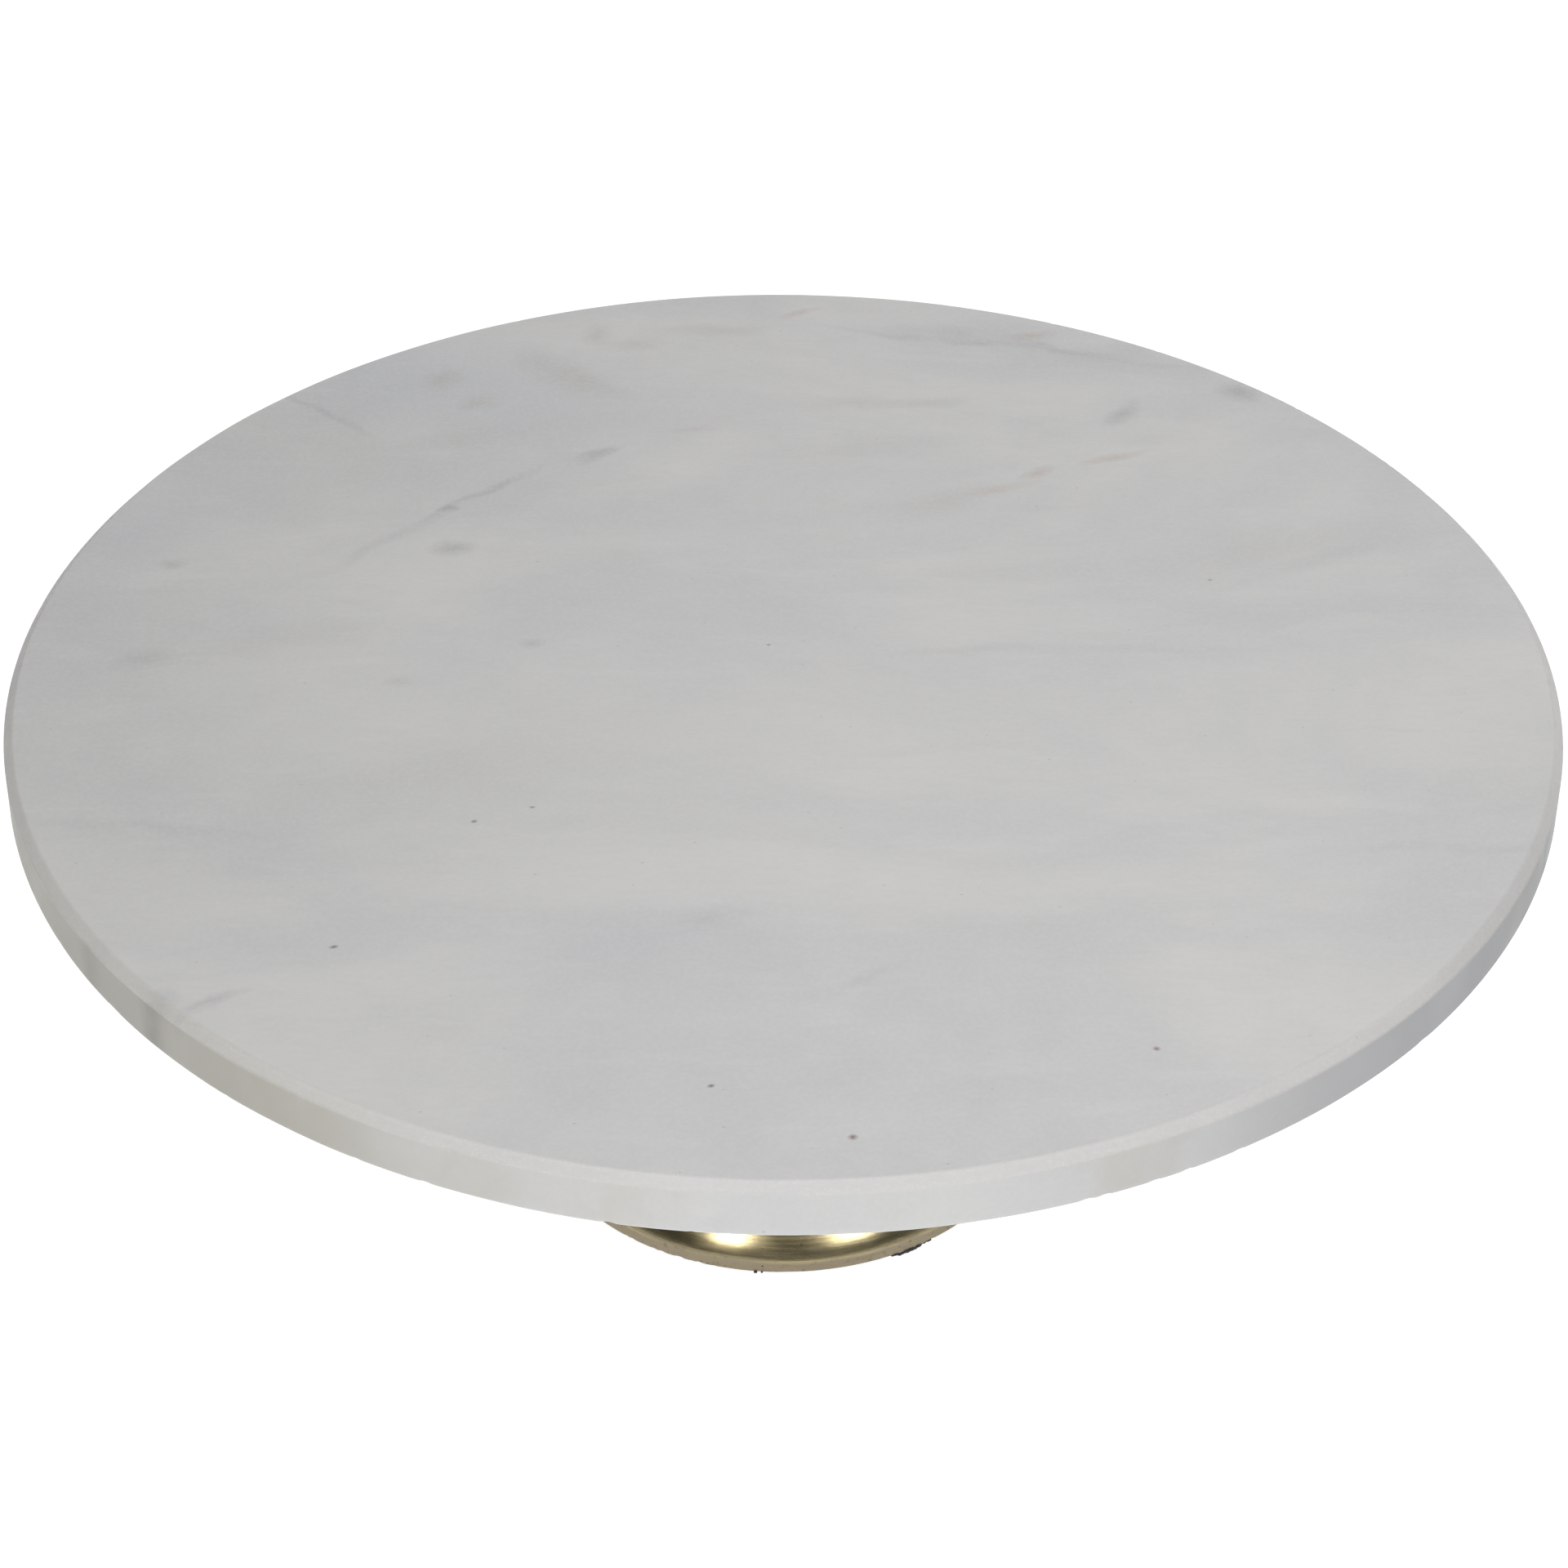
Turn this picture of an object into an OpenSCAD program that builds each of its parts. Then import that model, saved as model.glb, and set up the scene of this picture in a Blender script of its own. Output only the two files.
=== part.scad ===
// Lazy susan turntable: a round marble top that turns on a ball bearing above a cast brass pedestal.
// Millimetres, +Z up. The origin is the centre of the felt's underside, where the turntable stands.

/* [Marble top] */
// Diameter of the marble disc
top_d = 356; // [330:1:400]
// Thickness of the marble disc
top_t = 13.5; // [12:0.1:20]
// Width of the bevel ground round the upper edge
top_bevel = 2; // [1:0.1:3]
// Width of the arris broken on the lower edge
bottom_bevel = 0.8; // [0.4:0.1:1.5]

/* [Pedestal] */
// Diameter of the foot at its rim
foot_d = 122.8; // [118:0.2:124]
// Height of the cast pedestal, from the foot's rim to the top of the flange
pedestal_h = 104.7; // [103:0.1:112]
// Height of the upright edge at the foot's rim
foot_edge_h = 3; // [2:0.5:4]
// Radius of the rounded shoulder above that edge
shoulder_r = 22; // [20:0.5:23]
// Radius of the foot's neck
neck_r = 16; // [15:0.5:18]
// Radius of the head's lower end
head_neck_r = 14; // [13:0.5:15]
// Diameter of the flange under the bearing
flange_d = 100; // [99:1:102]
// Thickness of the cast walls
cast_wall = 4; // [3.5:0.1:4]
// Height of the bead between the foot and the head
collar_h = 7; // [6:0.5:8]

/* [Bearing] */
// Diameter of the balls
ball_d = 6; // [5.5:0.5:6]
// Number of balls
ball_count = 24; // [16:1:24]
// Radius of the circle that the ball centres run on
ball_circle_r = 42; // [41.5:0.1:42.5]
// Thickness of each race
race_t = 3; // [3:0.1:4]

/* [Fixings] */
// Thickness of the plate under the marble
plate_t = 3; // [2.5:0.5:4]
// Diameter of the plate under the marble
plate_d = 144; // [140:1:160]
// Thickness of the cushion between plate and marble
cushion_t = 1; // [0.8:0.1:2]
// Thickness of the felt under the foot
felt_t = 1.5; // [1:0.1:2]

/* [Hidden] */
$fn = 96;

// Colours
brass = [0.62, 0.53, 0.33];
steel = [0.72, 0.73, 0.75];
marble = [0.86, 0.86, 0.85];
felt = [0.05, 0.05, 0.05];

// Pedestal outline. A lean is the angle of a face's normal above the horizontal.
foot_r = foot_d / 2;
flange_r = flange_d / 2;
edge_round_r = 1.5;
shoulder_start_lean = 24;
shoulder_end_lean = 73;
flange_lean = 86;
flange_edge_t = 3;
flange_lip_w = 4;
flange_mouth_r = 29;
rim_break = 0.4;
foot_z = felt_t;
edge_round = [foot_r - edge_round_r, foot_z + foot_edge_h];
shoulder = edge_round - (shoulder_r - edge_round_r) * [cos(shoulder_start_lean), sin(shoulder_start_lean)];
shoulder_end = shoulder + shoulder_r * [cos(shoulder_end_lean), sin(shoulder_end_lean)];
foot_sweep_r = (shoulder_end[0] - neck_r) / (1 - cos(shoulder_end_lean));
foot_sweep = [neck_r + foot_sweep_r, shoulder_end[1] + foot_sweep_r * sin(shoulder_end_lean)];
flange_z = foot_z + pedestal_h;
flange_sweep_end_r = flange_r - flange_lip_w;
head_sweep_r = (flange_sweep_end_r - head_neck_r) / (1 - cos(flange_lean));
head_z = flange_z - flange_edge_t - head_sweep_r * sin(flange_lean);
collar_z = head_z - collar_h;
web_t = 7;
sweep_steps = 28;
round_steps = 12;
edge_steps = 4;

// Spigots that centre the collar on the foot and the head on the collar
spigot_r = 8;
spigot_h = 2;

// Fits and finishes: slip is left between parts that slide together, and over is what a cutter stands proud
slip = 0.1;
over = 1;
edge_break = 0.2;
race_edge = 0.5;
thread_depth_share = 0.5;
socket_width_share = 0.65;
socket_depth_share = 0.6;
button_round_share = 0.8;

// Tie rod, M8
rod_r = 4;
rod_pitch = 1.25;
rod_hole_r = 4.3;
nut_flats = 13;
nut_h = 6.5;
nut_bevel_w = 1.6;
nut_bevel_h = 0.8;
washer_r = 8;
washer_t = 1.6;
spring_washer_r = 7.1;
spring_washer_t = 2;
spring_washer_gap = 1;
spring_washer_slant = 20;
rod_upper_end = 1.5;
rod_lower_end = 0.5;

// Bottom plate, with a pressed cup that holds the lower nut above the felt
rim_wall = 2.8;
bottom_plate_r = foot_r - rim_wall - slip;
bottom_plate_t = 2;
plate_bend_r = 3;
cup_corner_r = 1;
cup_r = 13;
cup_h = 11;
cup_floor_z = foot_z + cup_h;
felt_inset = 2.2;
felt_r = foot_r - felt_inset;
felt_hole_r = cup_r + bottom_plate_t;
lower_nut_z = cup_floor_z - washer_t - spring_washer_t - nut_h;
upper_washer_z = head_z + web_t;
upper_nut_z = upper_washer_z + washer_t;

// Bearing
ball_r = ball_d / 2;
groove_depth = 1.6;
groove_slack = 0.03;
race_gap = ball_d - 2 * groove_depth;
race_inset = 1;
race_r = flange_r - race_inset;
lower_race_bore_r = 28;
upper_race_bore_r = 31;
ball_z = flange_z + race_t + race_gap / 2;
upper_race_z = flange_z + race_t + race_gap;
plate_z = upper_race_z + race_t;
cage_t = 1.4;
cage_half_w = 5;
pocket_slack = 0.15;
lip_t = 1;
lip_gap = 0.2;
lip_side_gap = 0.7;
retainer_wall = 1.5;
lower_lip_r = 31;
upper_lip_r = 32.5;

// Screws
fixing_count = 4;
small_screw_r = 2;
small_screw_pitch = 0.7;
small_head_r = 4;
small_head_h = 2.6;
small_washer_r = 4.4;
small_washer_t = 1;
flange_screw_circle_r = 35.5;
race_screw_circle_r = 36.5;
countersink_h = 2.1;
spotface_r = 5;
spotface_h = 12;
spotface_depth = 3.8;
spotface_z = flange_z - spotface_depth;
stone_screw_r = 2.5;
stone_screw_pitch = 0.8;
stone_head_r = 4.6;
stone_head_h = 3.2;
stone_washer_r = 6;
stone_washer_t = 1.2;
stone_circle_r = 62;
insert_r = 4;
insert_h = 8;
insert_rib_pitch = 0.8;
insert_end_t = 1;
stone_hole_depth = 9;
screw_end_gap = 0.5;
plate_hole_slip = 0.3;
cushion_hole_slip = 0.5;

// Plate, cushion and marble
plate_r = plate_d / 2;
plate_bore_r = 24;
cushion_z = plate_z + plate_t;
cushion_inset = 4;
cushion_r = plate_r - cushion_inset;
cushion_bore_r = 30;
marble_z = cushion_z + cushion_t;
top_r = top_d / 2;
top_z = marble_z + top_t;

// Points along an arc in the profile plane, from angle a0 to a1
function arc(centre, r, a0, a1, steps) =
    [for (i = [0:steps]) let (a = a0 + (a1 - a0) * i / steps) centre + r * [cos(a), sin(a)]];

// Places its children at count even angles on a circle
module around(count, r, start = 0) {
    for (i = [0:count - 1]) rotate(start + i * 360 / count) translate([r, 0, 0]) children();
}

// Flat ring with its outer edges broken
module ring(r_out, r_in, h, edge = edge_break) {
    rotate_extrude() polygon([[r_in, 0], [r_out - edge, 0], [r_out, edge], [r_out, h - edge],
        [r_out - edge, h], [r_in, h]]);
}

// Outline of a shank from z = 0 down to -h: plain rings stand for the thread
function thread_profile(r, pitch, h) =
    let (depth = thread_depth_share * pitch,
         turns = floor((h - pitch) / pitch),
         top = -(h - turns * pitch) / 2)
    concat([[0, 0], [r, 0], [r, top]],
           [for (i = [0:turns - 1], side = [0, 1])
               [side == 0 ? r - depth : r, top - (i + 0.5 + 0.5 * side) * pitch]],
           [[r - depth, -h], [0, -h]]);

module threaded_shank(r, pitch, h) {
    rotate_extrude() polygon(thread_profile(r, pitch, h));
}

// Button-head socket screw pointing down from the underside of its head at z = 0
module button_screw(r, pitch, length, head_r, head_h) {
    edge_r = button_round_share * head_h;
    difference() {
        union() {
            rotate_extrude() polygon(concat([[0, 0], [head_r, 0]],
                arc([head_r - edge_r, head_h - edge_r], edge_r, 0, 90, round_steps), [[0, head_h]]));
            threaded_shank(r, pitch, length);
        }
        hex_socket(r, head_h, head_h);
    }
}

// Hexagon socket that fits a screw of radius r, cut down from z = top
module hex_socket(r, head_h, top) {
    depth = socket_depth_share * head_h;
    translate([0, 0, top - depth]) cylinder(r = socket_width_share * r, h = depth + over, $fn = 6);
}

// Countersunk screw pointing down from the flat of its head at z = 0
module countersunk_screw(r, pitch, length, head_r, head_h) {
    difference() {
        union() {
            translate([0, 0, -head_h]) cylinder(r1 = r, r2 = head_r, h = head_h);
            translate([0, 0, -head_h]) threaded_shank(r, pitch, length - head_h);
        }
        hex_socket(r, head_h, 0);
    }
}

// Hexagon nut with its corners turned off at both ends
module hex_nut(flats, h, bore_r) {
    face_r = flats / 2;
    corner_r = flats / sqrt(3);
    difference() {
        intersection() {
            cylinder(r = corner_r, h = h, $fn = 6);
            rotate_extrude() polygon([[0, 0], [face_r, 0], [face_r + nut_bevel_w, nut_bevel_h],
                [face_r + nut_bevel_w, h - nut_bevel_h], [face_r, h], [0, h]]);
        }
        translate([0, 0, -over]) cylinder(r = bore_r, h = h + 2 * over);
    }
}

// Spring washer: a ring cut through at a slant
module spring_washer(r_out, r_in, h) {
    difference() {
        ring(r_out, r_in, h);
        translate([r_in - over, -spring_washer_gap / 2, -over]) rotate([spring_washer_slant, 0, 0])
            cube([r_out, spring_washer_gap, h + 4 * over]);
    }
}

module felt_pad() {
    color(felt) ring(felt_r, felt_hole_r, felt_t);
}

module bottom_plate() {
    outer_r = cup_r + bottom_plate_t;
    top = cup_h + bottom_plate_t;
    outside = concat([[bottom_plate_r, 0], [bottom_plate_r, bottom_plate_t]],
        arc([outer_r + plate_bend_r, bottom_plate_t + plate_bend_r], plate_bend_r, 270, 180, round_steps),
        arc([outer_r - plate_bend_r, top - plate_bend_r], plate_bend_r, 0, 90, round_steps));
    inside = concat([[rod_hole_r, top], [rod_hole_r, cup_h]],
        arc([cup_r - cup_corner_r, cup_h - cup_corner_r], cup_corner_r, 90, 0, round_steps), [[cup_r, 0]]);
    color(steel) translate([0, 0, foot_z]) rotate_extrude() polygon(concat(outside, inside));
}

module foot() {
    inner_top_z = collar_z - web_t;
    outer = concat([[foot_r - rim_break, foot_z], [foot_r, foot_z + rim_break]],
        arc(edge_round, edge_round_r, 0, shoulder_start_lean, edge_steps),
        arc(shoulder, shoulder_r, shoulder_start_lean, shoulder_end_lean, round_steps),
        arc(foot_sweep, foot_sweep_r, 180 + shoulder_end_lean, 180, sweep_steps));
    top = [[neck_r, collar_z], [spigot_r, collar_z], [spigot_r, collar_z + spigot_h - slip],
        [rod_hole_r, collar_z + spigot_h - slip], [rod_hole_r, inner_top_z]];
    inner_end = acos((foot_sweep[1] - inner_top_z) / (foot_sweep_r + cast_wall));
    rebate_z = foot_z + bottom_plate_t;
    rebate_lean = asin((rebate_z - shoulder[1]) / (shoulder_r - cast_wall));
    inner = concat(
        arc(foot_sweep, foot_sweep_r + cast_wall, 270 - inner_end, 180 + shoulder_end_lean, sweep_steps),
        arc(shoulder, shoulder_r - cast_wall, shoulder_end_lean, rebate_lean, round_steps));
    rebate = [[foot_r - rim_wall, rebate_z], [foot_r - rim_wall, foot_z]];
    color(brass) rotate_extrude() polygon(concat(outer, top, inner, rebate));
}

module collar() {
    bead_r = collar_h / 2;
    color(brass) difference() {
        translate([0, 0, collar_z]) rotate_extrude() polygon(concat([[0, 0]],
            arc([neck_r, bead_r], bead_r, -90, 90, 2 * round_steps), [[0, collar_h]]));
        translate([0, 0, collar_z - over]) cylinder(r = rod_hole_r, h = collar_h + 2 * over);
        translate([0, 0, collar_z - over]) cylinder(r = spigot_r + slip, h = spigot_h + over);
        translate([0, 0, head_z - spigot_h]) cylinder(r = spigot_r + slip, h = spigot_h + over);
    }
}

module head() {
    sweep = [head_neck_r + head_sweep_r, head_z];
    edge_r = flange_edge_t / 2;
    web_z = head_z + web_t;
    inner_r = head_sweep_r + cast_wall;
    web_a = asin(web_t / inner_r);
    mouth_a = acos((sweep[0] - flange_mouth_r) / inner_r);
    outer = concat(arc(sweep, head_sweep_r, 180, 180 - flange_lean, sweep_steps),
        arc([flange_r - edge_r, flange_z - edge_r], edge_r, -90, 90, round_steps));
    inner = concat([[flange_mouth_r, flange_z]],
        arc(sweep, inner_r, 180 - mouth_a, 180 - web_a, sweep_steps));
    lower_end = [[rod_hole_r, web_z], [rod_hole_r, head_z - spigot_h + slip],
        [spigot_r, head_z - spigot_h + slip], [spigot_r, head_z]];
    color(brass) difference() {
        rotate_extrude() polygon(concat(outer, inner, lower_end));
        around(fixing_count, flange_screw_circle_r) {
            translate([0, 0, head_z]) cylinder(r = small_screw_r + slip, h = pedestal_h);
            translate([0, 0, spotface_z - spotface_h]) cylinder(r = spotface_r, h = spotface_h);
        }
    }
}

module tie_rod() {
    rod_z = lower_nut_z - rod_lower_end;
    rod_top_z = upper_nut_z + nut_h + rod_upper_end;
    color(steel) translate([0, 0, rod_top_z]) threaded_shank(rod_r, rod_pitch, rod_top_z - rod_z);
}

module tie_rod_lower_nut() {
    color(steel) translate([0, 0, lower_nut_z]) hex_nut(nut_flats, nut_h, rod_r + slip / 2);
}

module tie_rod_spring_washer() {
    color(steel) translate([0, 0, lower_nut_z + nut_h])
        spring_washer(spring_washer_r, rod_hole_r, spring_washer_t);
}

module tie_rod_lower_washer() {
    color(steel) translate([0, 0, cup_floor_z - washer_t]) ring(washer_r, rod_hole_r, washer_t);
}

module tie_rod_upper_nut() {
    color(steel) translate([0, 0, upper_nut_z]) hex_nut(nut_flats, nut_h, rod_r + slip / 2);
}

module tie_rod_upper_washer() {
    color(steel) translate([0, 0, upper_washer_z]) ring(washer_r, rod_hole_r, washer_t);
}

// Round track that the balls run in
module ball_track() {
    translate([0, 0, ball_z]) rotate_extrude()
        translate([ball_circle_r, 0]) circle(r = ball_r + groove_slack);
}

module bearing_lower_race() {
    color(steel) difference() {
        translate([0, 0, flange_z]) ring(race_r, lower_race_bore_r, race_t, race_edge);
        ball_track();
        translate([0, 0, flange_z - over]) cylinder(r = lower_lip_r + slip, h = lip_t + lip_gap + over);
        around(fixing_count, flange_screw_circle_r)
            translate([0, 0, flange_z - over]) cylinder(r = small_screw_r + slip / 2, h = race_t + 2 * over);
    }
}

// Crimped tube with a lip at each end, which keeps the two races together when the top is lifted
module bearing_retainer() {
    tube_r = lower_race_bore_r - slip / 2;
    tube_bore_r = tube_r - retainer_wall;
    color(steel) translate([0, 0, flange_z]) {
        difference() {
            union() {
                cylinder(r = tube_r, h = plate_z - flange_z - lip_gap);
                cylinder(r = lower_lip_r, h = lip_t);
                translate([0, 0, plate_z - flange_z - lip_gap - lip_t]) cylinder(r = upper_lip_r, h = lip_t);
            }
            translate([0, 0, -over]) cylinder(r = tube_bore_r, h = plate_z);
        }
    }
}

module bearing_cage() {
    color([0.9, 0.88, 0.8]) difference() {
        translate([0, 0, ball_z - cage_t / 2])
            ring(ball_circle_r + cage_half_w, ball_circle_r - cage_half_w, cage_t);
        around(ball_count, ball_circle_r)
            translate([0, 0, ball_z - cage_t]) cylinder(r = ball_r + pocket_slack, h = 2 * cage_t);
    }
}

module bearing_balls() {
    color(steel) around(ball_count, ball_circle_r) translate([0, 0, ball_z]) sphere(r = ball_r);
}

module bearing_upper_race() {
    color(steel) difference() {
        translate([0, 0, upper_race_z]) ring(race_r, upper_race_bore_r, race_t, race_edge);
        ball_track();
        translate([0, 0, plate_z - lip_t - 2 * lip_gap])
            cylinder(r = upper_lip_r + lip_side_gap, h = lip_t + 2 * lip_gap + over);
        around(fixing_count, race_screw_circle_r, 45)
            translate([0, 0, upper_race_z - over])
                cylinder(r = small_screw_r + slip / 2, h = race_t + 2 * over);
    }
}

module flange_screws() {
    head_top_z = spotface_z - small_washer_t;
    color(steel) around(fixing_count, flange_screw_circle_r) translate([0, 0, head_top_z])
        rotate([180, 0, 0]) button_screw(small_screw_r, small_screw_pitch,
            flange_z + race_t - screw_end_gap - head_top_z, small_head_r, small_head_h);
}

module flange_screw_washers() {
    color(steel) around(fixing_count, flange_screw_circle_r)
        translate([0, 0, spotface_z - small_washer_t])
            ring(small_washer_r, small_screw_r + slip, small_washer_t);
}

module race_screws() {
    color(steel) around(fixing_count, race_screw_circle_r, 45) translate([0, 0, cushion_z])
        countersunk_screw(small_screw_r, small_screw_pitch,
            plate_t + race_t - screw_end_gap, small_head_r, countersink_h);
}

module top_plate() {
    edge_r = plate_t / 2;
    color(brass) difference() {
        translate([0, 0, plate_z]) rotate_extrude() polygon(concat([[plate_bore_r, 0]],
            arc([plate_r - edge_r, edge_r], edge_r, -90, 90, round_steps), [[plate_bore_r, plate_t]]));
        around(fixing_count, race_screw_circle_r, 45) {
            translate([0, 0, plate_z - over]) cylinder(r = small_screw_r + slip, h = plate_t + 2 * over);
            translate([0, 0, cushion_z - countersink_h - slip])
                cylinder(r1 = small_screw_r + slip, r2 = small_head_r + 2 * slip, h = countersink_h + slip);
        }
        around(fixing_count, stone_circle_r)
            translate([0, 0, plate_z - over])
                cylinder(r = stone_screw_r + plate_hole_slip, h = plate_t + 2 * over);
    }
}

module cushion_ring() {
    color([0.16, 0.15, 0.14]) difference() {
        translate([0, 0, cushion_z]) ring(cushion_r, cushion_bore_r, cushion_t);
        around(fixing_count, stone_circle_r)
            translate([0, 0, cushion_z - over])
                cylinder(r = stone_screw_r + cushion_hole_slip, h = cushion_t + 2 * over);
    }
}

module stone_inserts() {
    color(brass) around(fixing_count, stone_circle_r) translate([0, 0, marble_z + insert_h]) difference() {
        threaded_shank(insert_r, insert_rib_pitch, insert_h);
        translate([0, 0, -insert_h - insert_end_t]) cylinder(r = stone_screw_r + slip / 2, h = insert_h);
    }
}

module stone_screws() {
    head_top_z = plate_z - stone_washer_t;
    color(steel) around(fixing_count, stone_circle_r) translate([0, 0, head_top_z]) rotate([180, 0, 0])
        button_screw(stone_screw_r, stone_screw_pitch,
            marble_z + insert_h - insert_end_t - screw_end_gap - head_top_z, stone_head_r, stone_head_h);
}

module stone_screw_washers() {
    color(steel) around(fixing_count, stone_circle_r) translate([0, 0, plate_z - stone_washer_t])
        ring(stone_washer_r, stone_screw_r + 2 * slip, stone_washer_t);
}

module marble_top() {
    color(marble) difference() {
        rotate_extrude() polygon([[0, marble_z], [top_r - bottom_bevel, marble_z],
            [top_r, marble_z + bottom_bevel], [top_r, top_z - top_bevel], [top_r - top_bevel, top_z],
            [0, top_z]]);
        around(fixing_count, stone_circle_r)
            translate([0, 0, marble_z - over]) cylinder(r = insert_r + slip, h = stone_hole_depth + over);
    }
}

felt_pad();
bottom_plate();
foot();
collar();
head();
tie_rod();
tie_rod_lower_nut();
tie_rod_spring_washer();
tie_rod_lower_washer();
tie_rod_upper_nut();
tie_rod_upper_washer();
bearing_lower_race();
bearing_retainer();
bearing_cage();
bearing_balls();
bearing_upper_race();
flange_screws();
flange_screw_washers();
race_screws();
top_plate();
cushion_ring();
stone_inserts();
stone_screws();
stone_screw_washers();
marble_top();
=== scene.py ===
"""Looks of the lazy susan turntable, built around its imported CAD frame. Metres, +Z up."""
import math
import random

import bmesh
import bpy
import numpy as np
from mathutils import Matrix, Vector, noise


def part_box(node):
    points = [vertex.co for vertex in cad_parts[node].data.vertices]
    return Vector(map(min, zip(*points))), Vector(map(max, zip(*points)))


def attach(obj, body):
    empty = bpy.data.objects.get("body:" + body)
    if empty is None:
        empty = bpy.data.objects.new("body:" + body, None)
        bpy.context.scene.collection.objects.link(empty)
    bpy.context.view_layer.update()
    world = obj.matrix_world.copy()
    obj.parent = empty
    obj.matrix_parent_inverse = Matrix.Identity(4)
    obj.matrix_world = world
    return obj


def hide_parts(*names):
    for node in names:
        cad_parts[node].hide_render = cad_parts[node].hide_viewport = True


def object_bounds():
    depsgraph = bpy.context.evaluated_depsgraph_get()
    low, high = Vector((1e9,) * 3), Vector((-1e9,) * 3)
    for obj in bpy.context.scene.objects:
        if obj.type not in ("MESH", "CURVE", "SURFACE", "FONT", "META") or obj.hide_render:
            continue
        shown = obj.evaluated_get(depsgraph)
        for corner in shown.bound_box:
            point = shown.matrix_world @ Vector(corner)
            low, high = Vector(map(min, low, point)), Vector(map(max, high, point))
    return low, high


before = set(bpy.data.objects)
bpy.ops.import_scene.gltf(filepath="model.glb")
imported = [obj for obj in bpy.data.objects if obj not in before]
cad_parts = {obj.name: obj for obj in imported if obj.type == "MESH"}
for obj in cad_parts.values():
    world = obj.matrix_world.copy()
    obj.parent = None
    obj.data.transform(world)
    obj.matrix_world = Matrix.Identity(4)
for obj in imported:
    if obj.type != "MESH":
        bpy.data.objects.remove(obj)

CAD_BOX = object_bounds()
MM = 0.001
TAU = 2 * math.pi
PEDESTAL = "pedestal"
TURNTABLE = "turntable"
FRONT = math.radians(-90)
random.seed(7)

# ---------------------------------------------------------------- places and sizes from the frame
STONE_LOW, STONE_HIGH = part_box("marble_top")
STONE_R = (STONE_HIGH.x - STONE_LOW.x) / 2
FOOT_LOW, FOOT_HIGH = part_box("foot")
FOOT_R = (FOOT_HIGH.x - FOOT_LOW.x) / 2
COLLAR_LOW, COLLAR_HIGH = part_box("collar")
FELT_LOW, FELT_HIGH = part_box("felt_pad")
FELT_R = (FELT_HIGH.x - FELT_LOW.x) / 2
PLATE_LOW, PLATE_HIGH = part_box("bottom_plate")
PLATE_R = (PLATE_HIGH.x - PLATE_LOW.x) / 2

# ---------------------------------------------------------------- sizes that the frame's boxes don't show
BEVEL = 2.0 * MM
LOWER_ARRIS = 0.8 * MM
INSERT_R = 4.0 * MM
SHOULDER_R = 22.0 * MM
SHOULDER_START = 24
SHOULDER_LEAN = 73
EDGE_R = 1.5 * MM
FOOT_EDGE_H = 3.0 * MM
NECK_R = 16.0 * MM
WALL = 4.0 * MM
WEB = 7.0 * MM
RIM_WALL = 2.8 * MM
SPIGOT_R = 8.0 * MM
SPIGOT_H = 2.0 * MM
SLIP = 0.1 * MM
ROD_R = 4.0 * MM
ROD_HOLE_R = 4.3 * MM
ROD_PITCH = 1.25 * MM
M4_R, M4_PITCH = 2.0 * MM, 0.7 * MM
M5_R, M5_PITCH = 2.5 * MM, 0.8 * MM
PLATE_T = 2.0 * MM
NUT_FLATS = 13.0 * MM


# ================================================================ meshes
def solid(name, points, faces):
    """Smooth-shaded mesh object with its creases kept and its normals facing out."""
    mesh = bpy.data.meshes.new(name)
    mesh.from_pydata([tuple(map(float, p)) for p in points], [], faces)
    made = bpy.data.objects.new(name, mesh)
    bpy.context.scene.collection.objects.link(made)
    shape = bmesh.new()
    shape.from_mesh(mesh)
    finish_shape(made, shape)
    return made


def finish_shape(made, shape, crease=38):
    """Writes a bmesh back to its object, with its normals facing out and its creases kept sharp."""
    bmesh.ops.recalc_face_normals(shape, faces=shape.faces)
    shape.to_mesh(made.data)
    shape.free()
    made.data.shade_smooth()
    made.data.set_sharp_from_angle(angle=math.radians(crease))


def skin(name, rings, closed=False, open_end=False):
    """Joins each ring of points to the next. The ends are closed, or the last ring meets the first."""
    count = len(rings[0])
    points = [p for ring in rings for p in ring]
    faces = []
    for j in range(len(rings) if closed else len(rings) - 1):
        a, b = j * count, (j + 1) % len(rings) * count
        faces += [(a + i, a + (i + 1) % count, b + (i + 1) % count, b + i) for i in range(count)]
    if not closed:
        faces += fan(points, rings[0], 0)
        if not open_end:
            faces += fan(points, rings[-1], (len(rings) - 1) * count)
    return solid(name, points, faces)


def fan(points, ring, first):
    """Triangles from a ring to its middle, which is added to points."""
    points.append(np.mean(ring, axis=0))
    return [(len(points) - 1, first + i, first + (i + 1) % len(ring)) for i in range(len(ring))]


def circle(radius, z, count):
    """Ring of points. radius and z are each a number or one value for each point."""
    angles = np.arange(count) * TAU / count
    return np.stack([radius * np.cos(angles), radius * np.sin(angles), z + 0 * angles], axis=1)


def arc(centre, radius, start, end, steps):
    """Points (r, z) along an arc; angles in degrees."""
    angles = np.radians(np.linspace(start, end, steps + 1))
    return [(centre[0] + radius * math.cos(a), centre[1] + radius * math.sin(a)) for a in angles]


def rounded(outline, radius, steps=3):
    """A closed outline with each corner over 25 degrees rounded by a short curve."""
    smooth = []
    for i, corner in enumerate(outline):
        p = Vector(corner)
        back = Vector(outline[i - 1]) - p
        ahead = Vector(outline[(i + 1) % len(outline)]) - p
        turn = math.pi - back.angle(ahead)
        if turn < math.radians(25):
            smooth.append(tuple(p))
            continue
        reach = min(radius * math.tan(turn / 2), 0.45 * back.length, 0.45 * ahead.length)
        a = p + back.normalized() * reach
        b = p + ahead.normalized() * reach
        for t in np.linspace(0, 1, steps + 1):
            smooth.append(tuple(a * (1 - t) ** 2 + p * 2 * t * (1 - t) + b * t * t))
    return smooth


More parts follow.
